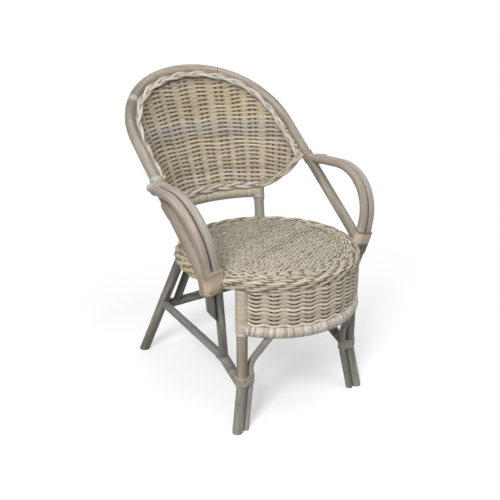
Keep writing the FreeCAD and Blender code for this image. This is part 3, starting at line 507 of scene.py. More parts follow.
# A dark sheet behind the stakes, standing for the shade inside the weave
SHADE_SHEET_COLOUR = srgb(86, 74, 56)
STAKE_DYE = srgb(178, 164, 138)
# Dark bed under the seat's twill, standing for the shade beneath it
BED_SHADE_COLOUR = srgb(130, 117, 96)
TACK_DYE = srgb(62, 54, 46)
BEIGE_DYES = palette((202, 189, 165), (192, 178, 152), (182, 168, 143), (210, 199, 178))
LILAC_DYES = palette((182, 174, 164), (174, 166, 154), (188, 180, 168))
YELLOW_DYES = palette((208, 190, 156), (202, 183, 144))
PALE_DYES = palette((206, 197, 186), (194, 185, 173))
SEAT_DYES = palette((190, 181, 162), (178, 168, 148), (200, 192, 175), (182, 175, 161))
ROD_DYES = palette((206, 195, 174), (176, 164, 145), (196, 184, 161))
BORDER_DYES = palette((194, 187, 168), (181, 174, 155), (202, 195, 177))
APRON_DYES = palette((234, 222, 199), (223, 210, 187), (206, 194, 172), (240, 231, 213))
APRON_RAIL_DYES = palette((214, 205, 190), (202, 192, 176), (188, 178, 166), (220, 212, 198), (168, 160, 154),
                          (206, 196, 178))
LEG_WRAP_DYES = palette((214, 199, 181), (208, 193, 175), (218, 205, 188))
BACK_RAIL_DYES = palette((186, 177, 160), (194, 185, 164), (180, 171, 156))
CORNER_DYES = [HOOP_DYE, srgb(176, 166, 150)]
STRETCHER_DYES = palette((134, 131, 126), (119, 116, 110), (147, 142, 135))
STRAP_LEFT_DYES = palette((176, 176, 170))
STRAP_RIGHT_DYES = palette((150, 140, 124))
COLLAR_DYES = palette((166, 155, 139))
LEG_BINDING_DYES = palette((166, 154, 140))

# Poles

POLE_SIDES = 20
KNOT_REACH = 0.007
KNOT_RISE = 0.05
KNOT_DIRT = 0.2
FIRST_KNOT = (0.08, 0.3)
KNOT_GAP = (0.26, 0.42)
END_ROUND = 0.003
END_SIZE = 0.86
# Painted shade in the crease between a pole and its neighbour
CREASE = 0.75
CREASE_FACING = 0.8
CREASE_EASE = 0.15
LEG_CREASE_TOP = 0.21
PALE_END = 0.030
PALE_EASE = 0.004
GRAIN_START = (0, 9)
FLOOR_PLANE = [(0, 0, 0), (0, 0, 1)]
FOOT_SPARE = 0.02
TOP_SPARE = 0.01


def knots_on(along):
    """How near each place is to a ring of the cane, from 0 to 1: the swelling and its line."""
    near = np.full(len(along), 1.0)
    at = dice.uniform(*FIRST_KNOT)
    while at < along[-1]:
        near = np.minimum(near, np.abs(along - at))
        at += dice.uniform(*KNOT_GAP)
    return np.exp(-(near / KNOT_REACH) ** 2), np.exp(-(near / (KNOT_REACH / 3)) ** 2)


def rounded_ends(along, radius):
    """A pole's radius near its cut ends, eased."""
    near = np.minimum(along, along[-1] - along)
    share = np.clip(near / END_ROUND, 0, 1)
    return radius * (END_SIZE + (1 - END_SIZE) * np.sqrt(1 - (1 - share) ** 2))


def pole(name, line, radius, dye, low_plane=None, high_plane=None, beside=None):
    """A bent pole with rings; a plane trims an end, and painted shade lies in the crease beside a neighbour.
    """
    bundle = Bundle()
    line = as_array(line)
    along = lengths_along(line)
    swell, ring = knots_on(along)
    size = rounded_ends(along, radius) * (1 + KNOT_RISE * swell)
    if callable(dye):
        dye = dye(line)
    sweep(bundle, line, size, size, dye, POLE_SIDES, dark=KNOT_DIRT * ring, start=dice.uniform(*GRAIN_START))
    grid = bundle.places[-1].reshape(len(line), POLE_SIDES, 3)
    if beside:
        bundle.dark[-1] = np.maximum(bundle.dark[-1], crease(grid - line[:, None], line[:, 2], *beside))
    for end, plane in ((0, low_plane), (-1, high_plane)):
        if plane:
            trim_to(grid, tangents(line)[end], plane)
    bundle.finish(f"{name}_cane", POLE, "pole", name)


def crease(spokes, heights, toward, low, high):
    """Painted shade on the side of a pole that faces its neighbour, between two heights."""
    facing = unit(spokes) @ np.array(toward)
    within = (heights > low) & (heights < high)
    return (CREASE * ramp(facing, CREASE_FACING, CREASE_EASE) * within[:, None]).reshape(-1)


def trim_to(grid, way, plane):
    """Slide what lies beyond a plane back to it, along the pole."""
    base, normal = np.array(plane[0]), np.array(plane[1])
    beyond = (grid - base) @ normal
    slide = np.where(beyond < 0, -beyond / (way @ normal), 0)
    grid += slide[..., None] * way


def flipped(plane):
    """A trimming plane on the other side of the chair."""
    return [(-p[0], p[1], p[2]) for p in plane]


def pole_pair(name, line, radius, dye, right_dye=None, beside=None, **trims):
    """A pole and its twin on the right."""
    pole(f"{name}_left", line, radius, dye, beside=beside, **trims)
    trims = {key: flipped(plane) for key, plane in trims.items()}
    if beside:
        beside = (flipped([beside[0]])[0], *beside[1:])
    pole(f"{name}_right", mirrored(line), radius, right_dye or dye, beside=beside, **trims)


def by_height(stops):
    """A pole's colours by height, from (height, colour) pairs."""
    return lambda line: blended(line[:, 2], stops)


# Places and bends of the poles, the same as in the part's source

KNEE_SINK = 0.014
KNEE_BEND = 0.06
REAR_FOOT = place(-0.2115, 0.3985, 0)
REAR_KNEE = behind_on(RING_REACH + REAR_LEG_R - KNEE_SINK, 0.1325, 0.420)
RAIL_END = behind_on(RAIL_BOW, UPRIGHT_SPREAD, RAIL_HEIGHT)
UPRIGHT_TOP = on_line(REAR_KNEE, RAIL_END, RAIL_HEIGHT + RAIL_R)
REAR_LEVEL = on_line(REAR_FOOT, REAR_KNEE, 0.178)
REAR_BRACE_FOOT = Vector((-0.126, REAR_LEVEL.y, REAR_LEVEL.z))
REAR_BRACE_TOP = behind_on(RING_RADIUS, 0.081, RING_HEIGHT)
STRETCHER_REAR = on_line(REAR_FOOT, REAR_KNEE, 0.190)
STRETCHER_FRONT = leg_at(0.129)
STRETCHER_DROP_Y = SEAT_Y - 0.0585
STRETCHER_DROP_Z = 0.172
DROP_BEND = 0.04


def stretcher_drop():
    """Where a side stretcher starts to drop to the front leg."""
    share = (STRETCHER_DROP_Y - STRETCHER_REAR.y) / (STRETCHER_FRONT.y - STRETCHER_REAR.y)
    x = STRETCHER_REAR.x + (STRETCHER_FRONT.x - STRETCHER_REAR.x) * share
    return Vector((x, STRETCHER_DROP_Y, STRETCHER_DROP_Z))


STRETCHER_DROP = stretcher_drop()
FRONT_FOOT = place(-0.2155, -0.1675, 0)
FRONT_FLARE = leg_at(0.135)
FRONT_TOP = leg_at(RING_HEIGHT - 0.011)
FLARE_BEND = 0.15
BRACE_KNEE_Z = 0.196
BRACE_KNEE_BEND = 0.08
BRACE_TOP_OUT = 0.134
POST_X = -sqrt((RING_REACH + ARM_R + FIT_GAP) ** 2 - POST_ADVANCE ** 2)
ARM_KINK = place(POST_X, -POST_ADVANCE, 0.462)
ARM_BEND = place(POST_X - 0.038, -POST_ADVANCE, 0.648)
ARM_JOINT = hoop_point(-HOOP_HALF, below_at_height(JOINT_Z))
ARM_FOOT = run_on(ARM_KINK, STRETCHER_DROP, -STRETCHER_R / 2)
ARM_TURN = (ARM_JOINT - ARM_BEND).cross(ARM_BEND - ARM_KINK).normalized()
ARM_OUT = ARM_TURN if ARM_TURN.x < 0 else -ARM_TURN
ARM_BENDS = [0.26, 0.14]
OUTER_LOW = on_line(ARM_FOOT, ARM_KINK, 0.309) + Vector((-ARM_STEP, 0, 0))
OUTER_SHORT = 0.008
SCARF = radians(52)


def arch_corners(inset):
    """Corners and radii of the hoop's three-centred arch."""
    half, corner, crown = HOOP_HALF - inset, HOOP_RADII[1] - inset, HOOP_RADII[2] - inset
    lean = asin((half - corner) / (crown - corner))
    peak = inset + crown - crown / cos(lean)
    shoulder = peak + half * tan(lean)
    return [(-half, shoulder), (0, peak), (half, shoulder)], [corner, crown, corner]


def make_hoop():
    """The hoop, from its left foot to its right foot, with a pale splice."""
    corners, radii = arch_corners(0)
    ends = [place(-HOOP_HALF, HOOP_FOOT_Y, z) for z in (HOOP_FOOT_Z, ELBOW_Z)]
    top = [hoop_point(x, below) for x, below in corners]
    line = route(ends + top + mirrored(ends)[::-1], HOOP_RADII)
    pole("back_hoop", line, HOOP_R, blended(np.linspace(0, 1, len(line)), HOOP_STOPS))


def make_rear_legs():
    """The rear legs, cut level at both ends and darker under the seat, as painted shade."""
    below = run_on(REAR_KNEE, REAR_FOOT, FOOT_SPARE)
    above = run_on(REAR_KNEE, UPRIGHT_TOP, TOP_SPARE)
    pole_pair("rear_leg", route([below, REAR_KNEE, above], [KNEE_BEND]), REAR_LEG_R, by_height(REAR_STOPS),
              low_plane=FLOOR_PLANE, high_plane=[tuple(UPRIGHT_TOP), (0, 0, -1)])


def make_front_legs():
    """The front legs, greyer below their bindings, and the knee braces beside them; the right leg and brace
    are darker as painted shade.
    """
    below = run_on(FRONT_FLARE, FRONT_FOOT, FOOT_SPARE)
    leg = route([below, FRONT_FLARE, FRONT_TOP], [FLARE_BEND])
    pole_pair("front_leg", leg, FRONT_LEG_R, by_height(LEG_STOPS), RIGHT_LEG_SHADE_COLOUR,
              beside=((1, 0, 0), 0.0, LEG_CREASE_TOP), low_plane=FLOOR_PLANE)
    inset = Vector((BRACE_STEP, 0, 0))
    top_y = APRON_MIDDLE - sqrt(APRON_RADIUS ** 2 - BRACE_TOP_OUT ** 2)
    corners = [p + inset for p in (below, FRONT_FLARE, leg_at(BRACE_KNEE_Z))]
    corners.append(place(-BRACE_TOP_OUT, top_y, APRON_RAIL_Z))
    brace = route(corners, [FLARE_BEND, BRACE_KNEE_BEND])
    pole_pair("knee_brace", brace, KNEE_BRACE_R, BRACE_DYE, RIGHT_LEG_SHADE_COLOUR,
              beside=((-1, 0, 0), 0.0, LEG_CREASE_TOP), low_plane=FLOOR_PLANE)


def arm_colours_and_shade(upper):
    """An arm pole's colours: its own above the binding, a darker grey below it as painted shade."""
    return by_height([(0.405, ARM_LOW_SHADE_COLOUR), (0.425, upper)])


def arm_outer_colours_and_shade(upper):
    """The same for an outer pole, with its pale rear end."""
    def paint(line):
        along = lengths_along(line)
        end = ramp(along - along[-1], -PALE_END, PALE_EASE)[:, None]
        return arm_colours_and_shade(upper)(line) * (1 - end) + np.array(ARM_END_DYE) * end
    return paint


def make_arms():
    """The two poles of each arm; the outer one is cut to a scarf at its lower end."""
    inner = route([ARM_FOOT, ARM_KINK, ARM_BEND, ARM_JOINT], ARM_BENDS)
    pole_pair("arm_inner_pole", inner, ARM_R, arm_colours_and_shade(ARM_COOL_DYE), arm_colours_and_shade(ARM_WARM_DYE),
              beside=(tuple(ARM_OUT), OUTER_LOW.z, HOOP_TOP))
    step = ARM_OUT * ARM_STEP
    end = run_on(ARM_BEND, ARM_JOINT, -OUTER_SHORT) + step
    kink, bend = ARM_BENDS
    outer = route([OUTER_LOW, ARM_KINK + step, ARM_BEND + step, end], [kink - ARM_STEP, bend])
    rise = Vector((0, 0, ARM_R * tan(SCARF)))
    scarf = [tuple(OUTER_LOW + rise), (sin(SCARF), 0, cos(SCARF))]
    pole_pair("arm_outer_pole", outer, ARM_R, arm_outer_colours_and_shade(ARM_WARM_DYE), arm_outer_colours_and_shade(ARM_COOL_DYE),
              beside=(tuple(-ARM_OUT), 0.0, HOOP_TOP), low_plane=scarf)


def make_stretchers():
    """The side stretchers, the rear stretcher and the rear braces on it; the last two in painted shade."""
    side = route([STRETCHER_REAR, STRETCHER_DROP, STRETCHER_FRONT], [DROP_BEND])
    pole_pair("side_stretcher", side, STRETCHER_R, SIDE_DYE)
    rear = straight(REAR_LEVEL, mirrored([REAR_LEVEL])[0])
    pole("rear_stretcher", rear, REAR_STRETCHER_R, SHADE_DYE)
    pole_pair("rear_brace", straight(REAR_BRACE_FOOT, REAR_BRACE_TOP), REAR_BRACE_R, SHADE_DYE)


# Woven back: rows at one height on the ruled surface between the rail's bow and the hoop

ROW_PITCH = 0.0121
FIRST_ROW = 0.0035
STRAND_TALL = 0.0042
STRAND_THICK = 0.0018
STRAND_SPREAD = (0.95, 1.12)
# Painted shade along the upper and lower edges of a strand
STRAND_EDGE = 0.65
STAKE_THICK = 0.0022
STAKE_WIDE = 0.0031
STAKE_SPACING = 0.0535
STAKE_SHIFT = -0.014
STAKE_JITTER = 0.09
STAKE_REACH = 14
STAKE_FAN = 0.78
FAN_TOP = 0.84
FAN_MIDDLE = 0.76
SHADE_SHEET_WIDE = 0.0150
ARCH_STEP = 0.002
DIVE_REACH = 0.0147
WEAVE_DEPTH = STAKE_THICK + STRAND_THICK
REST_BEHIND = 0.0022
REST_BEFORE = 0.0012
WAVER = 0.0002
WAVER_RATE = (0.1, 0.3)
PHASES = (0, 6)
ROW_SHADE = 0.06
DIVE_SHADE = 0.95
EDGE_BULGE = 0.012
EDGE_SLANT = radians(41)
END_TUCK = 0.009
END_REACH = 0.022
LILAC_ROWS = (0.69, 0.735)
LILAC_CHANCE = 0.8
YELLOW_ROWS = 0.76
YELLOW_CHANCE = 0.15
YELLOW_MOST = 0.6
YELLOW_RIGHT = (-0.02, 0.16)
YELLOW_UP = (0.70, 0.08)
LEFT_SHADE = 0.10
SHADE_LEFT = (0.05, 0.15)
TOP_SHADE = 0.16
SHADE_UP = (0.80, 0.04)
HUE_DRIFT = np.array((0.025, 0.012, 0.035))
HUE_ACROSS = (41, 53, 37)
HUE_UP = (67, -59, 83)
HUE_START = np.array((0.5, 0.0, 2.0))
ROW_DRIFTS = [(0.0020, 47, 31, 0.0), (0.0014, 29, -47, 1.3)]


def arch_line(inset):
    """The hoop's arch at an inset, from one shoulder of the weave to the other."""
    corners, radii = arch_corners(inset)
    half = corners[2][0]
    below = below_at_height(PANEL_SHOULDER)
    line = [hoop_point(x, down) for x, down in [(-half, below), *corners, (half, below)]]
    return as_array(route(line, radii, ARCH_STEP))


SHARES = np.linspace(0, 1, 501)
ARCH = arch_line(HOOP_R - 0.002)
ARCH_ALONG = lengths_along(ARCH)
BACK_ARCH = read_off(SHARES * ARCH_ALONG[-1], ARCH_ALONG, ARCH)
BOW_ANGLES = RAIL_HALF * (2 * SHARES - 1)
BACK_FOOT = np.stack([RAIL_BOW * np.sin(BOW_ANGLES), RAIL_BOW * np.cos(BOW_ANGLES) + SEAT_Y,
                      np.full_like(BOW_ANGLES, PANEL_FOOT)], -1)


def edge_bulge(share):
    """How far the slanting lower edge of the back swings out."""
    return EDGE_BULGE * sin(pi * min(max(share, 0), 1))


def back_row(z):
    """A level row across the back: places, front normals and signed distance from the middle."""
    rise = (z - PANEL_FOOT) / (BACK_ARCH[:, 2] - PANEL_FOOT)
    inside = rise < 1
    line = (BACK_FOOT + (BACK_ARCH - BACK_FOOT) * rise[:, None])[inside]
    upward = (BACK_ARCH - BACK_FOOT)[inside]
    if len(line) < 8:
        return None
    ways = tangents(line)
    reach = edge_bulge((z - PANEL_FOOT) / (PANEL_SHOULDER - PANEL_FOOT)) / sin(EDGE_SLANT)
    line = np.vstack([line[:1] - ways[:1] * reach, line, line[-1:] + ways[-1:] * reach])
    upward = np.vstack([upward[:1], upward, upward[-1:]])
    along = lengths_along(line)
    wanted = np.linspace(0, along[-1], max(4, int(along[-1] / POINT_STEP)) + 1)
    even = read_off(wanted, along, line)
    front = unit(np.cross(tangents(even), unit(read_off(wanted, along, upward))))
    front = front * np.where(front[:, 1:2] > 0, -1, 1)
    middle = np.interp(0.0, even[:, 0], wanted)
    return even, front, wanted - middle


def stake_scale(z):
    """The stakes fan out upwards."""
    return (1 - STAKE_FAN * (FAN_TOP - z)) / (1 - STAKE_FAN * (FAN_TOP - FAN_MIDDLE))


def row_dye(z):
    """The lots of cane that the rows were woven from."""
    if LILAC_ROWS[0] < z < LILAC_ROWS[1] and dice.random() < LILAC_CHANCE:
        return varied(dice.choice(LILAC_DYES), spread=0.07)
    if z > YELLOW_ROWS and dice.random() < YELLOW_CHANCE:
        return varied(YELLOW_DYES[0], spread=0.06)
    return varied(dice.choice(BEIGE_DYES), spread=0.09)


def drifted(line):
    """How far each place of a row wanders up or down."""
    x, z = line[:, 0], line[:, 2]
    return sum(size * np.sin(x * along + z * up + start) for size, along, up, start in ROW_DRIFTS)


def back_colours_and_shade(line, dye):
    """A row's colour along it: yellower at the upper right, with painted shade at the left and at the top."""
    x, z = line[:, 0], line[:, 2]
    yellow = (YELLOW_MOST * ramp(x, *YELLOW_RIGHT) * ramp(z, *YELLOW_UP))[:, None]
    shading = 1 - LEFT_SHADE * ramp(-x, *SHADE_LEFT) - TOP_SHADE * ramp(z, *SHADE_UP)
    hue = 1 + HUE_DRIFT * np.sin(np.outer(x, HUE_ACROSS) + np.outer(z, HUE_UP) + HUE_START)
    return (np.array(dye) * hue * (1 - yellow) + np.array(YELLOW_DYES[0]) * yellow) * shading[:, None]


def stake_phases():
    """Where the stakes stand, in spacings, set by hand and so a little uneven."""
    even = range(-STAKE_REACH, STAKE_REACH + 1)
    return np.array([k + dice.uniform(-STAKE_JITTER, STAKE_JITTER) for k in even])


def from_nearest(phase, stakes):
    """Distance of each place from its nearest stake, in spacings."""
    gaps = phase[:, None] - stakes
    return np.take_along_axis(gaps, np.abs(gaps).argmin(1)[:, None], 1)[:, 0]


def weave_row(bundle, even, front, near, behind, z_shift, dye, sag=0.0, spacing=STAKE_SPACING):
    """One strand, before the stakes or behind them; between them it may sag in a bow."""
    dive = np.exp(-(near / DIVE_REACH) ** 2)
    past_behind = REST_BEHIND - (WEAVE_DEPTH + REST_BEHIND) * dive
    past_before = REST_BEFORE + (WEAVE_DEPTH - REST_BEFORE) * dive
    offset = past_behind if behind else past_before
    wave = WAVER * np.sin(np.arange(len(even)) * dice.uniform(*WAVER_RATE) + dice.uniform(*PHASES))
    share = np.abs(2 * near / spacing)
    # A bow with a rounded top at each stake, zero on average
    slack = sag * (share ** 2 - share ** 6 / 3 - 2 / 7)
    line = even + front * offset[:, None]
    line[:, 2] += z_shift + wave + slack
    # Painted shade: strands darken where they dive behind a stake, on the faces turned away and along their
    # edges
    deep = np.clip(ROW_SHADE + dive * DIVE_SHADE, 0, 1)
    dark, dark_behind = (deep, 0.0) if behind else (0.0, deep)
    tall = STRAND_TALL * dice.uniform(*STRAND_SPREAD)
    sweep(bundle, line, STRAND_THICK, tall, dye, normals=front, dark=dark, start=dice.uniform(*GRAIN_START),
          edge=STRAND_EDGE, dark_behind=dark_behind)


def gather_stakes(stakes, stands, phase, even, front):
    """Note where each stake crosses a row."""
    for stand in stands[(stands > phase[0]) & (stands < phase[-1])]:
        crossing = (read_off(stand, phase, even), read_off(stand, phase, front))
        stakes.setdefault(stand, []).append(crossing)


def stake_into(bundle, line, normals, dark):
    """A stake of two canes side by side, on a thin dark sheet that stands for the shade behind the weave and
    closes it.
    """
    sideways = np.cross(tangents(line), normals)
    for apart in (-STAKE_WIDE, STAKE_WIDE):
        dye = varied(STAKE_DYE, spread=0.1)
        sweep(bundle, line + sideways * apart, STAKE_THICK, STAKE_WIDE, dye, normals=normals, dark=dark)
    sweep(bundle, line, STAKE_THICK / 5, SHADE_SHEET_WIDE, SHADE_SHEET_COLOUR, sides=6, normals=normals, dark=dark)


def stakes_into(bundle, stakes, first_shade=0.0):
    """The stakes through the rows that they cross; the first may be darkened as painted shade, for the shaded
    gap it lies in.
    """
    for stand in sorted(stakes):
        line, normals = np.array(stakes[stand]).transpose(1, 0, 2)
        if len(line) > 3:
            stake_into(bundle, line, normals, first_shade if stand == min(stakes) else 0.0)


def end_tuck(along):
    """How deep a row sinks at its ends, into the hoop or behind the border."""
    from_end = np.minimum(along - along[0], along[-1] - along)
    return END_TUCK * np.clip(1 - from_end / END_REACH, 0, 1) ** 2


def row_heights(first, pitch, count):
    """Height of each row, before the stakes or, half a pitch higher, behind them."""
    return [(first + i * pitch + (pitch / 2 if behind else 0), behind)
            for i in range(count) for behind in (False, True)]


def make_back():
    """The woven back with its stakes."""
    bundle = Bundle()
    stakes = {}
    stands = stake_phases()
    rows = int((HOOP_TOP - PANEL_FOOT) / ROW_PITCH)
    for z, behind in row_heights(PANEL_FOOT + FIRST_ROW, ROW_PITCH, rows):
        found = back_row(z)
        if found is None:
            continue
        even, front, along = found
        phase = (along / stake_scale(z) - STAKE_SHIFT) / STAKE_SPACING
        near = from_nearest(phase, stands) * STAKE_SPACING * stake_scale(z)
        gather_stakes(stakes, stands, phase, even, front)
        even = even - front * end_tuck(along)[:, None]
        weave_row(bundle, even, front, near, behind, drifted(even), back_colours_and_shade(even, row_dye(z)))
    stakes_into(bundle, stakes)
    bundle.finish("back_weave", STRAND, "weave", "back_panel")


# Woven apron between the front legs

APRON_PITCH = 0.0115
APRON_ROWS = 9
APRON_FIRST = 0.3225
APRON_SPACING = 0.048
APRON_SHIFT = 0.002
APRON_SAG = 0.0060
SAG_SPREAD = (0.85, 1.15)
APRON_JITTER = 0.0005


def apron_row(z):
    """A level row round the apron: places, outward normals and distance from the middle."""
    line = as_array(apron_arc(z))
    front = unit(line - np.array((0, APRON_MIDDLE + SEAT_Y, z)))
    along = lengths_along(line)
    return line, front, along - along[-1] / 2


def make_apron():
    """The woven apron with its stakes."""
    bundle = Bundle()
    stakes = {}
    stands = stake_phases()
    for z, behind in row_heights(APRON_FIRST, APRON_PITCH, APRON_ROWS):
        even, front, along = apron_row(z)
        phase = (along - APRON_SHIFT) / APRON_SPACING
        near = from_nearest(phase, stands) * APRON_SPACING
        dye = varied(dice.choice(APRON_DYES), spread=0.12)
        sag = APRON_SAG * dice.uniform(*SAG_SPREAD)
        shift = dice.uniform(-APRON_JITTER, APRON_JITTER)
        weave_row(bundle, even, front, near, behind, shift, dye, sag, APRON_SPACING)
        gather_stakes(stakes, stands, phase, even, front)
    stakes_into(bundle, stakes, 1.0)
    bundle.finish("apron_weave", STRAND, "weave", "apron_panel")


# Woven seat: two sets of strands in a twill, over flat dark strips that stand for the shade beneath it

SEAT_ANGLE = radians(22)
SEAT_CROSS_ANGLE = radians(112)
SEAT_PITCH = 0.0078
SEAT_FLOAT = 0.060
SEAT_TWILL = 0.3
SEAT_UNEVEN = 0.009
SEAT_REACH = 0.229
SEAT_ROWS = int(SEAT_REACH / SEAT_PITCH)
SEAT_SHIFTS = np.array([i * SEAT_TWILL * SEAT_FLOAT + dice.uniform(-SEAT_UNEVEN, SEAT_UNEVEN)
                        for i in range(2 * SEAT_ROWS + 3)])
SEAT_LIFT = 0.0024
SEAT_CANE = (0.0017, 0.0036)
SEAT_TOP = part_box("seat_panel")[1].z - 0.004
SEAT_FLAT = 0.17
SEAT_FALL = 0.006
SEAT_SPLIT = radians(-34.5)
SPLIT_SHIFT = 0.03
SPLIT_EASE = 0.04
SPLIT_PUSH = 1.1
FLOAT_PUSH = 2.2
SEAT_SHADE_ENDS = [-0.2, 0.2]
SEAT_LIGHT_AND_SHADE = [1.10, 0.72]
SEAT_SHADE_FROM = 0.1
SEAT_SHADE_MOST = 0.8
BED_PITCH = 0.022
BED_REACH = 0.238
BED_SHADE_STRIP = (0.0010, 0.0114)
SHORTEST = 0.02


def seat_height(r):
    """The seat weave's middle surface: flat inside, sloping to its border."""
    return SEAT_TOP - SEAT_FALL * ramp(r, SEAT_FLAT, SEAT_REACH - SEAT_FLAT) ** 2


def seat_over(x, y):
    """Which set lies on top at a place, from -1 to 1: its own twill at the left and at the right."""
    along = x * cos(SEAT_ANGLE) + y * sin(SEAT_ANGLE)
    offset = y * cos(SEAT_ANGLE) - x * sin(SEAT_ANGLE)
    row = np.clip(np.round(offset / SEAT_PITCH).astype(int) + SEAT_ROWS + 1, 0, len(SEAT_SHIFTS) - 1)
    wave = np.cos(2 * pi * (along + SEAT_SHIFTS[row]) / SEAT_FLOAT)
    sideways = x * cos(SEAT_SPLIT) + y * sin(SEAT_SPLIT)
    return np.tanh(SPLIT_PUSH * np.tanh((sideways + SPLIT_SHIFT) / SPLIT_EASE) + FLOAT_PUSH * wave)


def seat_strand(bundle, angle, offset, reach, cane, dye, sign):
    """A straight strand across the seat; its sign says when it lies on top, and 0 is the bed."""
    half = sqrt(max(reach ** 2 - offset ** 2, 0))
    if half < SHORTEST:
        return
    count = max(4, int(2 * half / POINT_STEP))
    t = np.linspace(-half, half, count)
    x = t * cos(angle) - offset * sin(angle)
    y = t * sin(angle) + offset * cos(angle)
    over = sign * seat_over(x, y) if sign else np.full(count, -1.0)
    line = np.stack([x, y + SEAT_Y, seat_height(np.hypot(x, y)) + SEAT_LIFT * over], -1)
    # Painted light and shade: the seat lighter at the front, darker at the back
    dyes = np.array(dye) * np.interp(y, SEAT_SHADE_ENDS, SEAT_LIGHT_AND_SHADE)[:, None]
    # Painted shade where a strand lies under the other set and on the bed, and along its edges
    dark = np.clip(-over - SEAT_SHADE_FROM, 0, SEAT_SHADE_MOST)
    sweep(bundle, line, *cane, dyes, normals=np.tile(UPWARD, (count, 1)), dark=dark,
          start=dice.uniform(*GRAIN_START), edge=0.35)


def make_seat():
    """The seat's twill and, under it, a dark bed that stands for the shade beneath."""
    bundle = Bundle()
    for i in range(-SEAT_ROWS, SEAT_ROWS + 1):
        for angle, sign in ((SEAT_ANGLE, 1), (SEAT_CROSS_ANGLE, -1)):
            dye = varied(dice.choice(SEAT_DYES), spread=0.08)
            seat_strand(bundle, angle, i * SEAT_PITCH, SEAT_REACH, SEAT_CANE, dye, sign)
    beds = int(BED_REACH / BED_PITCH)
    for i in range(-beds, beds + 1):
        seat_strand(bundle, 0, i * BED_PITCH, BED_REACH, BED_SHADE_STRIP, BED_SHADE_COLOUR, 0)
    bundle.finish("seat_weave", STRAND, "weave", "seat_panel")


# Seat rim: rods round the ring and round the edge of the twill

RIM_POINTS = 720
RIM_TURN = np.linspace(0, 2 * pi, RIM_POINTS, endpoint=False)
# Painted light and shade round the rim: a little lighter at the front, darker at the back
RIM_LIGHT_AND_SHADE = np.interp(np.sin(RIM_TURN), [-1, 0.1, 1], [1.03, 0.98, 0.78])[:, None]
RIM_RODS = 8
RIM_WAVES = 27
RIM_FIRST_TILT = 110
RIM_STEP = 22.5
RIM_LIFT = 0.0021
RIM_WEAVE = 0.0015
RIM_ROD = (0.0032, 0.0037)
RIM_DRIFT = (0.5, 3)
RIM_ROCK = 4
RIM_TILT_DRIFT = (3, 7)
RIM_DIP_SHADE = (1.75, 1.0, 0.75)
# Painted shade along the edges of the rim rods
RIM_EDGE = 0.85
RIM_EDGE_WAVE = 0.25
YELLOW_AT = radians(186)
YELLOW_GAIN = 12
YELLOW_FROM = 10.6
BORDER_RODS = 5
BORDER_WAVES = (31, 44)
BORDER_REACH = 0.2335
BORDER_STEP = 0.0074
BORDER_SINK = 0.0055
BORDER_SUNK = (0.1, 0.4)
BORDER_LIFT = 0.0036
BORDER_WEAVE = 0.0016
BORDER_WANDER = (0.0010, 9)
BORDER_DRIFT = (0.9, 4)
BORDER_DIP_SHADE = (1.1, 0.35, 1)
BORDER_SHADE_MEAN = 0.95
BORDER_SHADE_DRIFT = (0.35, 5)
BORDER_INSIDE = 0.006
BORDER_ROD = (0.0028, 0.0034)


def wobble(size, waves, start):
    """A slow wave round the rim."""
    return size * np.sin(RIM_TURN * waves + start)


def dipped_shade(weave, gain, clean, most):
    """Painted shade where a rod passes under its neighbours."""
    return np.clip(-gain * np.cos(weave) - clean, 0, most)


def rim_rods(bundle):
    """Rods laid round the seat ring, each passing under its neighbours at the stakes."""
    turn = RIM_TURN
    outward = np.stack([np.cos(turn), np.sin(turn), np.zeros(RIM_POINTS)], -1)
    middle = outward * RING_RADIUS + np.array((0, SEAT_Y, RING_HEIGHT))
    yellow = np.clip(np.cos(turn - YELLOW_AT) * YELLOW_GAIN - YELLOW_FROM, 0, 1)[:, None]
    for i in range(RIM_RODS):
        weave = turn * RIM_WAVES + i * 2 * pi / 3 + wobble(*RIM_DRIFT, i)
        tilt = np.radians(RIM_FIRST_TILT - RIM_STEP * i + RIM_ROCK * np.sin(weave)
                          + wobble(*RIM_TILT_DRIFT, i * 2))
        reach = RING_R + RIM_LIFT + RIM_WEAVE * np.cos(weave)
        normal = np.cos(tilt)[:, None] * outward + np.sin(tilt)[:, None] * UPWARD
        plain = np.array(varied(ROD_DYES[i % 3], spread=0.05)) * RIM_LIGHT_AND_SHADE
        dye = plain * (1 - yellow) + np.array(YELLOW_DYES[i % 2]) * yellow
        sweep(bundle, middle + normal * reach[:, None], *RIM_ROD, dye, sides=12, normals=normal,
              dark=dipped_shade(weave, *RIM_DIP_SHADE), closed=True, edge=RIM_EDGE - RIM_EDGE_WAVE * np.cos(weave))


def border_rods(bundle):
    """Rods round the edge of the twill, sunk at the back."""
    turn = RIM_TURN
    sunk = BORDER_SINK * ramp(np.sin(turn), *BORDER_SUNK)
    for i in range(BORDER_RODS):
        weave = turn * dice.randint(*BORDER_WAVES) + dice.uniform(*PHASES) + wobble(*BORDER_DRIFT, i)
        out = BORDER_REACH - i * BORDER_STEP + wobble(*BORDER_WANDER, i * 2)
        z = seat_height(out - BORDER_INSIDE) + BORDER_LIFT + BORDER_WEAVE * np.cos(weave) - sunk
        line = np.stack([out * np.cos(turn), out * np.sin(turn) + SEAT_Y, z], -1)
        patches = BORDER_SHADE_MEAN + wobble(*BORDER_SHADE_DRIFT, i * 2)
        # Painted shade where a border rod dips, stronger in patches, and along its edges
        dark = dipped_shade(weave, *BORDER_DIP_SHADE) * patches
        dye = np.array(varied(dice.choice(BORDER_DYES), spread=0.07)) * RIM_LIGHT_AND_SHADE
        sweep(bundle, line, *BORDER_ROD, dye, dark=dark, closed=True, edge=0.4)


def make_rim():
    """The rods of the seat's rim."""
    bundle = Bundle()
    rim_rods(bundle)
    border_rods(bundle)
    bundle.finish("seat_rim_rods", ROD, "rod", "seat_rim_wrap")


# Twisted borders of the back

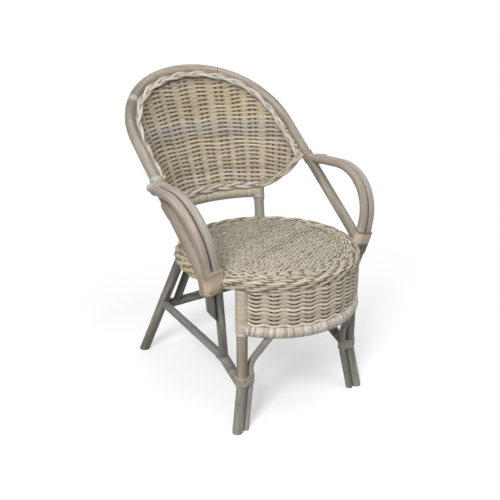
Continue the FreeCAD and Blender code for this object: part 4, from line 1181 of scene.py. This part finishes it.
BRAID_ARCH_PITCH = 0.20
BRAID_RAIL_PITCH = 0.19
BRAID_SIDE_PITCH = 0.21
BRAID_WIDE = 0.0072
BRAID_SIDE_WIDE = 0.0055
BRAID_DEEP = 0.0030
BRAID_ROD = (0.0049 * 0.8, 0.0049)
BRAID_INSET = 0.0240
BRAID_MARKS = [-1, -0.7, -0.4, 0.4, 0.7, 1]
BRAID_LIFTS = [-0.011, -0.009, 0.003, 0.003, -0.009, -0.011]
BRAID_RAIL_REACH = RAIL_BOW - 0.004 - 0.0065 - FIT_GAP
BRAID_RAIL_RISE = 0.0085
BRAID_SIDE_INSET = 0.0213
BRAID_SIDE_OUT = 0.002
BRAID_SIDE_SHIFT = Vector((0, -0.007, 0.003))
BRAID_SIDE_POINTS = 40
BRAID_SIDE_DYES = PALE_DYES + BEIGE_DYES[:1]
BRAID_SHADE = 0.15
BRAID_SHADE_WAVE = 0.45


def twist(name, line, front, pitch, dyes=PALE_DYES, wide=BRAID_WIDE):
    """A border of three strands in a loose twist along a line."""
    bundle = Bundle()
    line = respaced(line)
    ways = tangents(line)
    normal = carried_normals(ways, front)
    side = np.cross(ways, normal)
    for i in range(3):
        angle = 2 * pi * (lengths_along(line) / pitch + i / 3)
        deep = BRAID_DEEP * np.sin(2 * angle)
        offset = wide * np.sin(angle)[:, None] * side + deep[:, None] * normal
        # Painted shade on a strand where it turns behind the others
        dark = np.clip(BRAID_SHADE - BRAID_SHADE_WAVE * np.sin(2 * angle), 0, 1)
        dye = varied(dice.choice(dyes), spread=0.05)
        sweep(bundle, line + offset, *BRAID_ROD, dye, sides=10, normals=normal, dark=dark,
              start=dice.uniform(*GRAIN_START))
    bundle.finish(f"braid_{name}_strands", ROD, "rod", f"back_braid_{name}")


def side_braid_line():
    """The slanting border from the rail's end to the hoop, swung out of the straight."""
    foot = place(-RAIL_BOW * sin(RAIL_HALF), RAIL_BOW * cos(RAIL_HALF), PANEL_FOOT)
    top = hoop_point(BRAID_SIDE_INSET - HOOP_HALF, below_at_height(PANEL_SHOULDER))
    edge = top - foot
    foot_out = edge.cross(Vector((-sin(RAIL_HALF), cos(RAIL_HALF), 0))).normalized()
    top_out = edge.cross(Vector((-1, 0, 0))).normalized()
    line = []
    for i in range(BRAID_SIDE_POINTS + 1):
        share = i / BRAID_SIDE_POINTS
        out = (foot_out * (1 - share) + top_out * share).normalized()
        line.append(foot + edge * share + out * (BRAID_SIDE_OUT + edge_bulge(share)) + BRAID_SIDE_SHIFT)
    return as_array(line)


def make_braids():
    """Borders inside the hoop, along the rail and up the two slanting edges."""
    front = np.array((0.0, -sin(HOOP_SLOPE), cos(HOOP_SLOPE)))
    arch = respaced(arch_line(BRAID_INSET))
    lift = np.interp(np.linspace(-1, 1, len(arch)), BRAID_MARKS, BRAID_LIFTS)
    twist("arch", arch + front * lift[:, None], front, BRAID_ARCH_PITCH)
    rail = as_array(rail_arc(BRAID_RAIL_REACH, PANEL_FOOT + BRAID_RAIL_RISE))
    twist("rail", rail, (0, -1, 0), BRAID_RAIL_PITCH)
    for side, sign in (("left", 1), ("right", -1)):
        line = side_braid_line() * (sign, 1, 1)
        twist(side, line, (0, -1, 0.4), BRAID_SIDE_PITCH, BRAID_SIDE_DYES, BRAID_SIDE_WIDE)


# Wound peel and bindings

PEEL_STEEP = 0.8
TURN_RISE = 0.0007
TURN_STEP = 0.0012
TURN_SKIP = 0.37
GROOVE_REACH = 0.09
PEEL_END = 0.002
PEEL_END_DROP = 0.0012
FLAT_PEEL = {"pitch": 0.3, "rise": 0, "slant": 0, "groove": 0}
LIP_SHADE = 0.4
LIP_AT = (0.955, 0.03)
FACING_SHARE = 0.2
LEFT_STOPS = [(0.1, BINDING_DYE), (0.4, BINDING_PALE), (0.7, BINDING_PALE), (1.0, srgb(176, 160, 126))]
RIGHT_STOPS = [(0.0, BINDING_DARK), (0.44, BINDING_DARK), (0.56, BINDING_GREY), (0.93, BINDING_GREY),
               (0.97, BINDING_DARK)]


def wound(name, line, outline, dyes, pitch, first_normal=None, rise=TURN_RISE, slant=1.0, groove=0.4,
          paint=None, material=WOUND):
    """Peel wound round a pole or a pair: an outline drawn along a line, with a ridge for each turn."""
    line = respaced(as_array(line), TURN_STEP)
    ways = tangents(line)
    normal = carried_normals(ways, first_normal or across(ways[0], PEEL_STEEP))
    side = np.cross(ways, normal)
    along = lengths_along(line)
    round_share = np.arange(len(outline)) / len(outline)
    turns = along[:, None] / pitch + slant * round_share
    within = turns - np.floor(turns)
    ridge = rise * (np.sqrt(np.clip(1 - (2 * within - 1) ** 4, 0, 1)) - 1)
    near_end = np.clip(np.minimum(along, along[-1] - along) / PEEL_END, 0, 1)
    ridge = ridge - (PEEL_END_DROP * (1 - np.sqrt(1 - (1 - near_end) ** 2)))[:, None]
    shape, swell = np.array(outline).transpose(1, 0, 2)
    flat = shape + swell * ridge[..., None]
    grid = line[:, None] + flat[..., :1] * normal[:, None] + flat[..., 1:] * side[:, None]
    reach = np.linalg.norm(np.diff(np.vstack([shape, shape[:1]]), axis=0), axis=1).sum()
    grain = np.zeros(grid.shape)
    grain[..., 0] = round_share * reach + np.floor(turns) * TURN_SKIP
    grain[..., 1] = within * pitch
    index = np.floor(turns).astype(int)
    index -= index.min()
    table = np.array([varied(dice.choice(dyes), spread=0.06) for _ in range(index.max() + 1)])
    dark = groove * np.exp(-(np.minimum(within, 1 - within) / GROOVE_REACH) ** 2)
    dye = table[index] if paint is None else paint(along[:, None] / along[-1], swell[None])
    bundle = Bundle()
    bundle.add(grid, grain, dye, dark)
    bundle.finish(f"{name.removesuffix('_wrap')}_peel", material, "peel", name)


def round_outline(pole_radius, sides=24):
    """Peel round one pole: places and normals."""
    radius = pole_radius + PEEL
    turn = np.linspace(0, 2 * pi, sides, endpoint=False)
    return [((radius * cos(a), radius * sin(a)), (cos(a), sin(a))) for a in turn]


def pair_outline(first, second, apart, sides=36):
    """Peel pulled tight round two poles, the second one along the first axis."""
    lean = asin((first - second) / apart)
    outline = []
    for i in range(sides):
        a = 2 * pi * i / sides
        normal = (cos(a), sin(a))
        on_second = normal[0] > sin(lean)
        radius = (second if on_second else first) + PEEL
        shift = apart if on_second else 0.0
        outline.append(((shift + radius * normal[0], radius * normal[1]), normal))
    return outline


def wound_pair(name, line, outline, first_normal=None, right=(), **how):
    """Wound peel on both sides of the chair, and what differs on the right."""
    wound(f"{name}_left", line, outline, first_normal=first_normal, **how)
    how.update(right)
    other = first_normal and flipped([first_normal])[0]
    wound(f"{name}_right", mirrored(line), outline, first_normal=other, **how)


def left_post_paint(up, facing):
    """Yellowish above, pinkish below, with a darker lip."""
    lip = LIP_SHADE * ramp(up, *LIP_AT)
    return blended(up + FACING_SHARE * facing[..., 0], LEFT_STOPS) * (1 - lip)[..., None]


def right_post_paint(up, facing):
    """Greyish brown all round, dark at its lower part and along its upper edge."""
    return blended(up, RIGHT_STOPS)


# Places of the wraps, the same as in the part's source

LEG_WRAP_LOW = leg_at(APRON_RAIL_Z - APRON_RAIL_R - PEEL)
LEG_WRAP_TOP = leg_at(RING_HEIGHT - 0.013)
CORNER_LOW = run_on(REAR_KNEE, UPRIGHT_TOP, -0.044)
WRAP_START = run_on(STRETCHER_REAR, STRETCHER_DROP, -0.024)
STRAP_HALF = 0.016
STRAP_ENDS = [hoop_point(-HOOP_HALF, below_at_height(JOINT_Z) + reach) for reach in (STRAP_HALF, -STRAP_HALF)]
ARM_FORWARD = (ARM_BEND - ARM_JOINT).normalized()
COLLAR_START = ARM_JOINT + ARM_FORWARD * 0.038
COLLAR_LONG = 0.010
POST_LOW = on_line(ARM_FOOT, ARM_KINK, 0.410)
POST_UP = (ARM_KINK - ARM_FOOT).normalized()
POST_LONG = 0.068
BIND_LOW = leg_at(0.134)
BIND_TALL = 0.028
ARM_BAND = pair_outline(ARM_R, ARM_R, ARM_STEP)
LEG_BAND = pair_outline(FRONT_LEG_R, KNEE_BRACE_R, BRACE_STEP)


def make_wraps():
    """The wound peel of the rails, the legs, the corners and the stretchers."""
    wound("apron_rail_wrap", apron_arc(APRON_RAIL_Z), round_outline(APRON_RAIL_R), APRON_RAIL_DYES,
          pitch=0.0046, groove=0.55)
    wound_pair("leg_wrap", straight(LEG_WRAP_LOW, LEG_WRAP_TOP), round_outline(FRONT_LEG_R),
               dyes=LEG_WRAP_DYES, pitch=0.0135, slant=0.4, groove=0.25)
    wound("back_rail_wrap", rail_arc(RAIL_BOW, RAIL_HEIGHT), round_outline(RAIL_R), BACK_RAIL_DYES,
          pitch=0.0048, rise=0.0004)
    wound_pair("corner_wrap", straight(CORNER_LOW, UPRIGHT_TOP), round_outline(REAR_LEG_R),
               dyes=CORNER_DYES, pitch=0.008)
    drop = route([WRAP_START, STRETCHER_DROP, STRETCHER_FRONT], [DROP_BEND])
    wound_pair("stretcher_wrap", drop, round_outline(STRETCHER_R), dyes=STRETCHER_DYES, pitch=0.011)


def make_bindings():
    """The straps and collars of the arms, and the bindings of the posts and the front legs."""
    wound_pair("arm_strap", straight(*STRAP_ENDS), round_outline(HOOP_R), right={"dyes": STRAP_RIGHT_DYES},
               dyes=STRAP_LEFT_DYES, pitch=0.016, rise=0.0004)
    collar = straight(COLLAR_START, COLLAR_START + ARM_FORWARD * COLLAR_LONG)
    wound_pair("arm_collar", collar, ARM_BAND, tuple(ARM_OUT), dyes=COLLAR_DYES, pitch=0.010, rise=0.0005,
               groove=0.75)
    post = straight(POST_LOW, POST_LOW + POST_UP * POST_LONG)
    wound_pair("post_binding", post, ARM_BAND, (-1, 0, 0), right={"paint": right_post_paint},
               dyes=[BINDING_DYE], paint=left_post_paint, material=BAND, **FLAT_PEEL)
    bind = straight(BIND_LOW, BIND_LOW + Vector((0, 0, BIND_TALL)))
    wound_pair("leg_binding", bind, LEG_BAND, (1, 0, 0), dyes=LEG_BINDING_DYES, **FLAT_PEEL)


# Tacks: angle round the pole, whether on the outer pole, and height above the binding's lower edge

POST_TACKS = [(20, 1, 0.006), (48, 1, 0.005), (78, 1, 0.006), (92, 0, 0.005), (115, 0, 0.006), (95, 0, 0.022)]
LEG_TACKS = [75, 140]
LEG_TACK_UP = 0.020
TACK_RISES = (-0.0012, 0.0002, 0.0007, 0.0010)
TACK_SIZES = np.array([0.0021, 0.0021, 0.0016, 0.0004])


def tacks_into(bundle, base, angle, reach):
    """A small domed head at an angle round a left pole, and its twin on the right."""
    out = Vector((-cos(radians(angle)), -sin(radians(angle)), 0))
    line = as_array([base + out * reach + out * rise for rise in TACK_RISES])
    for sign in (1, -1):
        sweep(bundle, line * (sign, 1, 1), TACK_SIZES, TACK_SIZES, TACK_DYE, sides=10)


def make_tacks():
    """The tacks in the bindings."""
    bundle = Bundle()
    for angle, outer, up in POST_TACKS:
        tacks_into(bundle, POST_LOW + Vector((-ARM_STEP * outer, 0, 0)) + POST_UP * up, angle, ARM_R + PEEL)
    for angle in LEG_TACKS:
        tacks_into(bundle, BIND_LOW + Vector((0, 0, LEG_TACK_UP)), angle, FRONT_LEG_R + PEEL)
    bundle.finish("binding_tacks", TACK, "peel")


def dress_solids():
    """Cane for the solids that stay: the seat ring, the cross bars and the wrapped cores."""
    for name in ("seat_ring", "seat_bar_front", "seat_bar_rear", "back_rail", "apron_rail"):
        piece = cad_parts[name]
        piece.data.materials.clear()
        piece.data.materials.append(CORE)


# Stage

WORLD_LEVEL = 0.42
FLOOR_LIFT = 0.40
FLOOR_SHADE = 0.82
FLOOR_GREY = 0.4
FLOOR_REACH = 30
SHADOW_NEAR = 0.55
SHADOW_FAR = 1.3
SENSOR = 36
FOCAL_PIXELS = 725
PICTURE_PIXELS = 500
EYE = (-1.1288, -1.65255, 1.1924)
EYE_TILT = radians(68.447)
EYE_TURN = radians(-34.481)


def greater(tree, first, second):
    """The greater of two values."""
    return node(tree, "ShaderNodeMath", {0: first, 1: second}, operation="MAXIMUM").outputs[0]


def seen_rays(tree):
    """One for the rays by which the background is seen, straight on or mirrored."""
    rays = node(tree, "ShaderNodeLightPath").outputs
    seen = greater(tree, rays["Is Camera Ray"], rays["Is Glossy Ray"])
    return greater(tree, seen, rays["Is Transmission Ray"])


def floor_material():
    """White where it is seen, with the chair's shadow near it; a plain grey floor to other light."""
    material, tree, shader = new_material("floor_white")
    shown = seen_rays(tree)
    fill(tree, shader, {"Roughness": 0.9, "Specular IOR Level": 0.0, "Emission Color": WHITE,
                        "Base Color": remapped(tree, shown, 0, 1, FLOOR_GREY, FLOOR_SHADE),
                        "Emission Strength": remapped(tree, shown, 0, 1, 0.0, FLOOR_LIFT)})
    level = remapped(tree, shown, 0, 1, WORLD_LEVEL * FLOOR_GREY, 1.0)
    plain = node(tree, "ShaderNodeEmission", {"Color": WHITE, "Strength": level})
    where = node(tree, "ShaderNodeNewGeometry").outputs["Position"]
    reach = node(tree, "ShaderNodeVectorMath", {0: where}, operation="LENGTH").outputs["Value"]
    far = remapped(tree, reach, SHADOW_NEAR, SHADOW_FAR, 0.0, 1.0)
    mix = node(tree, "ShaderNodeMixShader", {"Fac": far, 1: shader.outputs["BSDF"],
                                             2: plain.outputs["Emission"]})
    fill(tree, tree.nodes["Material Output"], {"Surface": mix.outputs["Shader"]})
    return material


def make_stage():
    """A pale floor and a white world."""
    mesh = bpy.data.meshes.new("floor")
    corners = [(FLOOR_REACH * x, FLOOR_REACH * y, 0) for x, y in ((-1, -1), (1, -1), (1, 1), (-1, 1))]
    mesh.from_pydata(corners, [], [(0, 1, 2, 3)])
    mesh.materials.append(floor_material())
    floor = put("floor", mesh)
    world = bpy.data.worlds.new("studio")
    bpy.context.scene.world = world
    world.use_nodes = True
    tree = world.node_tree
    level = remapped(tree, seen_rays(tree), 0.0, 1.0, WORLD_LEVEL, 1.0)
    fill(tree, tree.nodes["Background"], {"Strength": level, "Color": WHITE})


def lamp(name, where, aim, size, power):
    """A soft square lamp."""
    light = bpy.data.lights.new(name, "AREA")
    light.size = size
    light.energy = power
    holder = put(name, light)
    holder.location = where
    holder.rotation_euler = (Vector(aim) - Vector(where)).to_track_quat("-Z", "Y").to_euler()


def make_camera():
    """The photograph's view, for a square picture."""
    camera = bpy.data.cameras.new("view")
    camera.sensor_width = SENSOR
    camera.lens = FOCAL_PIXELS / PICTURE_PIXELS * SENSOR
    holder = put("view", camera)
    holder.location = EYE
    holder.rotation_euler = (EYE_TILT, 0, EYE_TURN)
    bpy.context.scene.camera = holder


make_hoop()
make_rear_legs()
make_front_legs()
make_arms()
make_stretchers()
make_back()
make_apron()
make_seat()
make_rim()
make_braids()
make_wraps()
make_bindings()
make_tacks()
dress_solids()
make_stage()
lamp("key", where=(-2.3, -1.8, 2.6), aim=(0, 0, 0.45), size=1.0, power=78)
lamp("top", where=(0.2, -0.9, 2.9), aim=(0, 0, 0.4), size=1.4, power=20)
make_camera()
bpy.context.scene.view_settings.view_transform = "Standard"
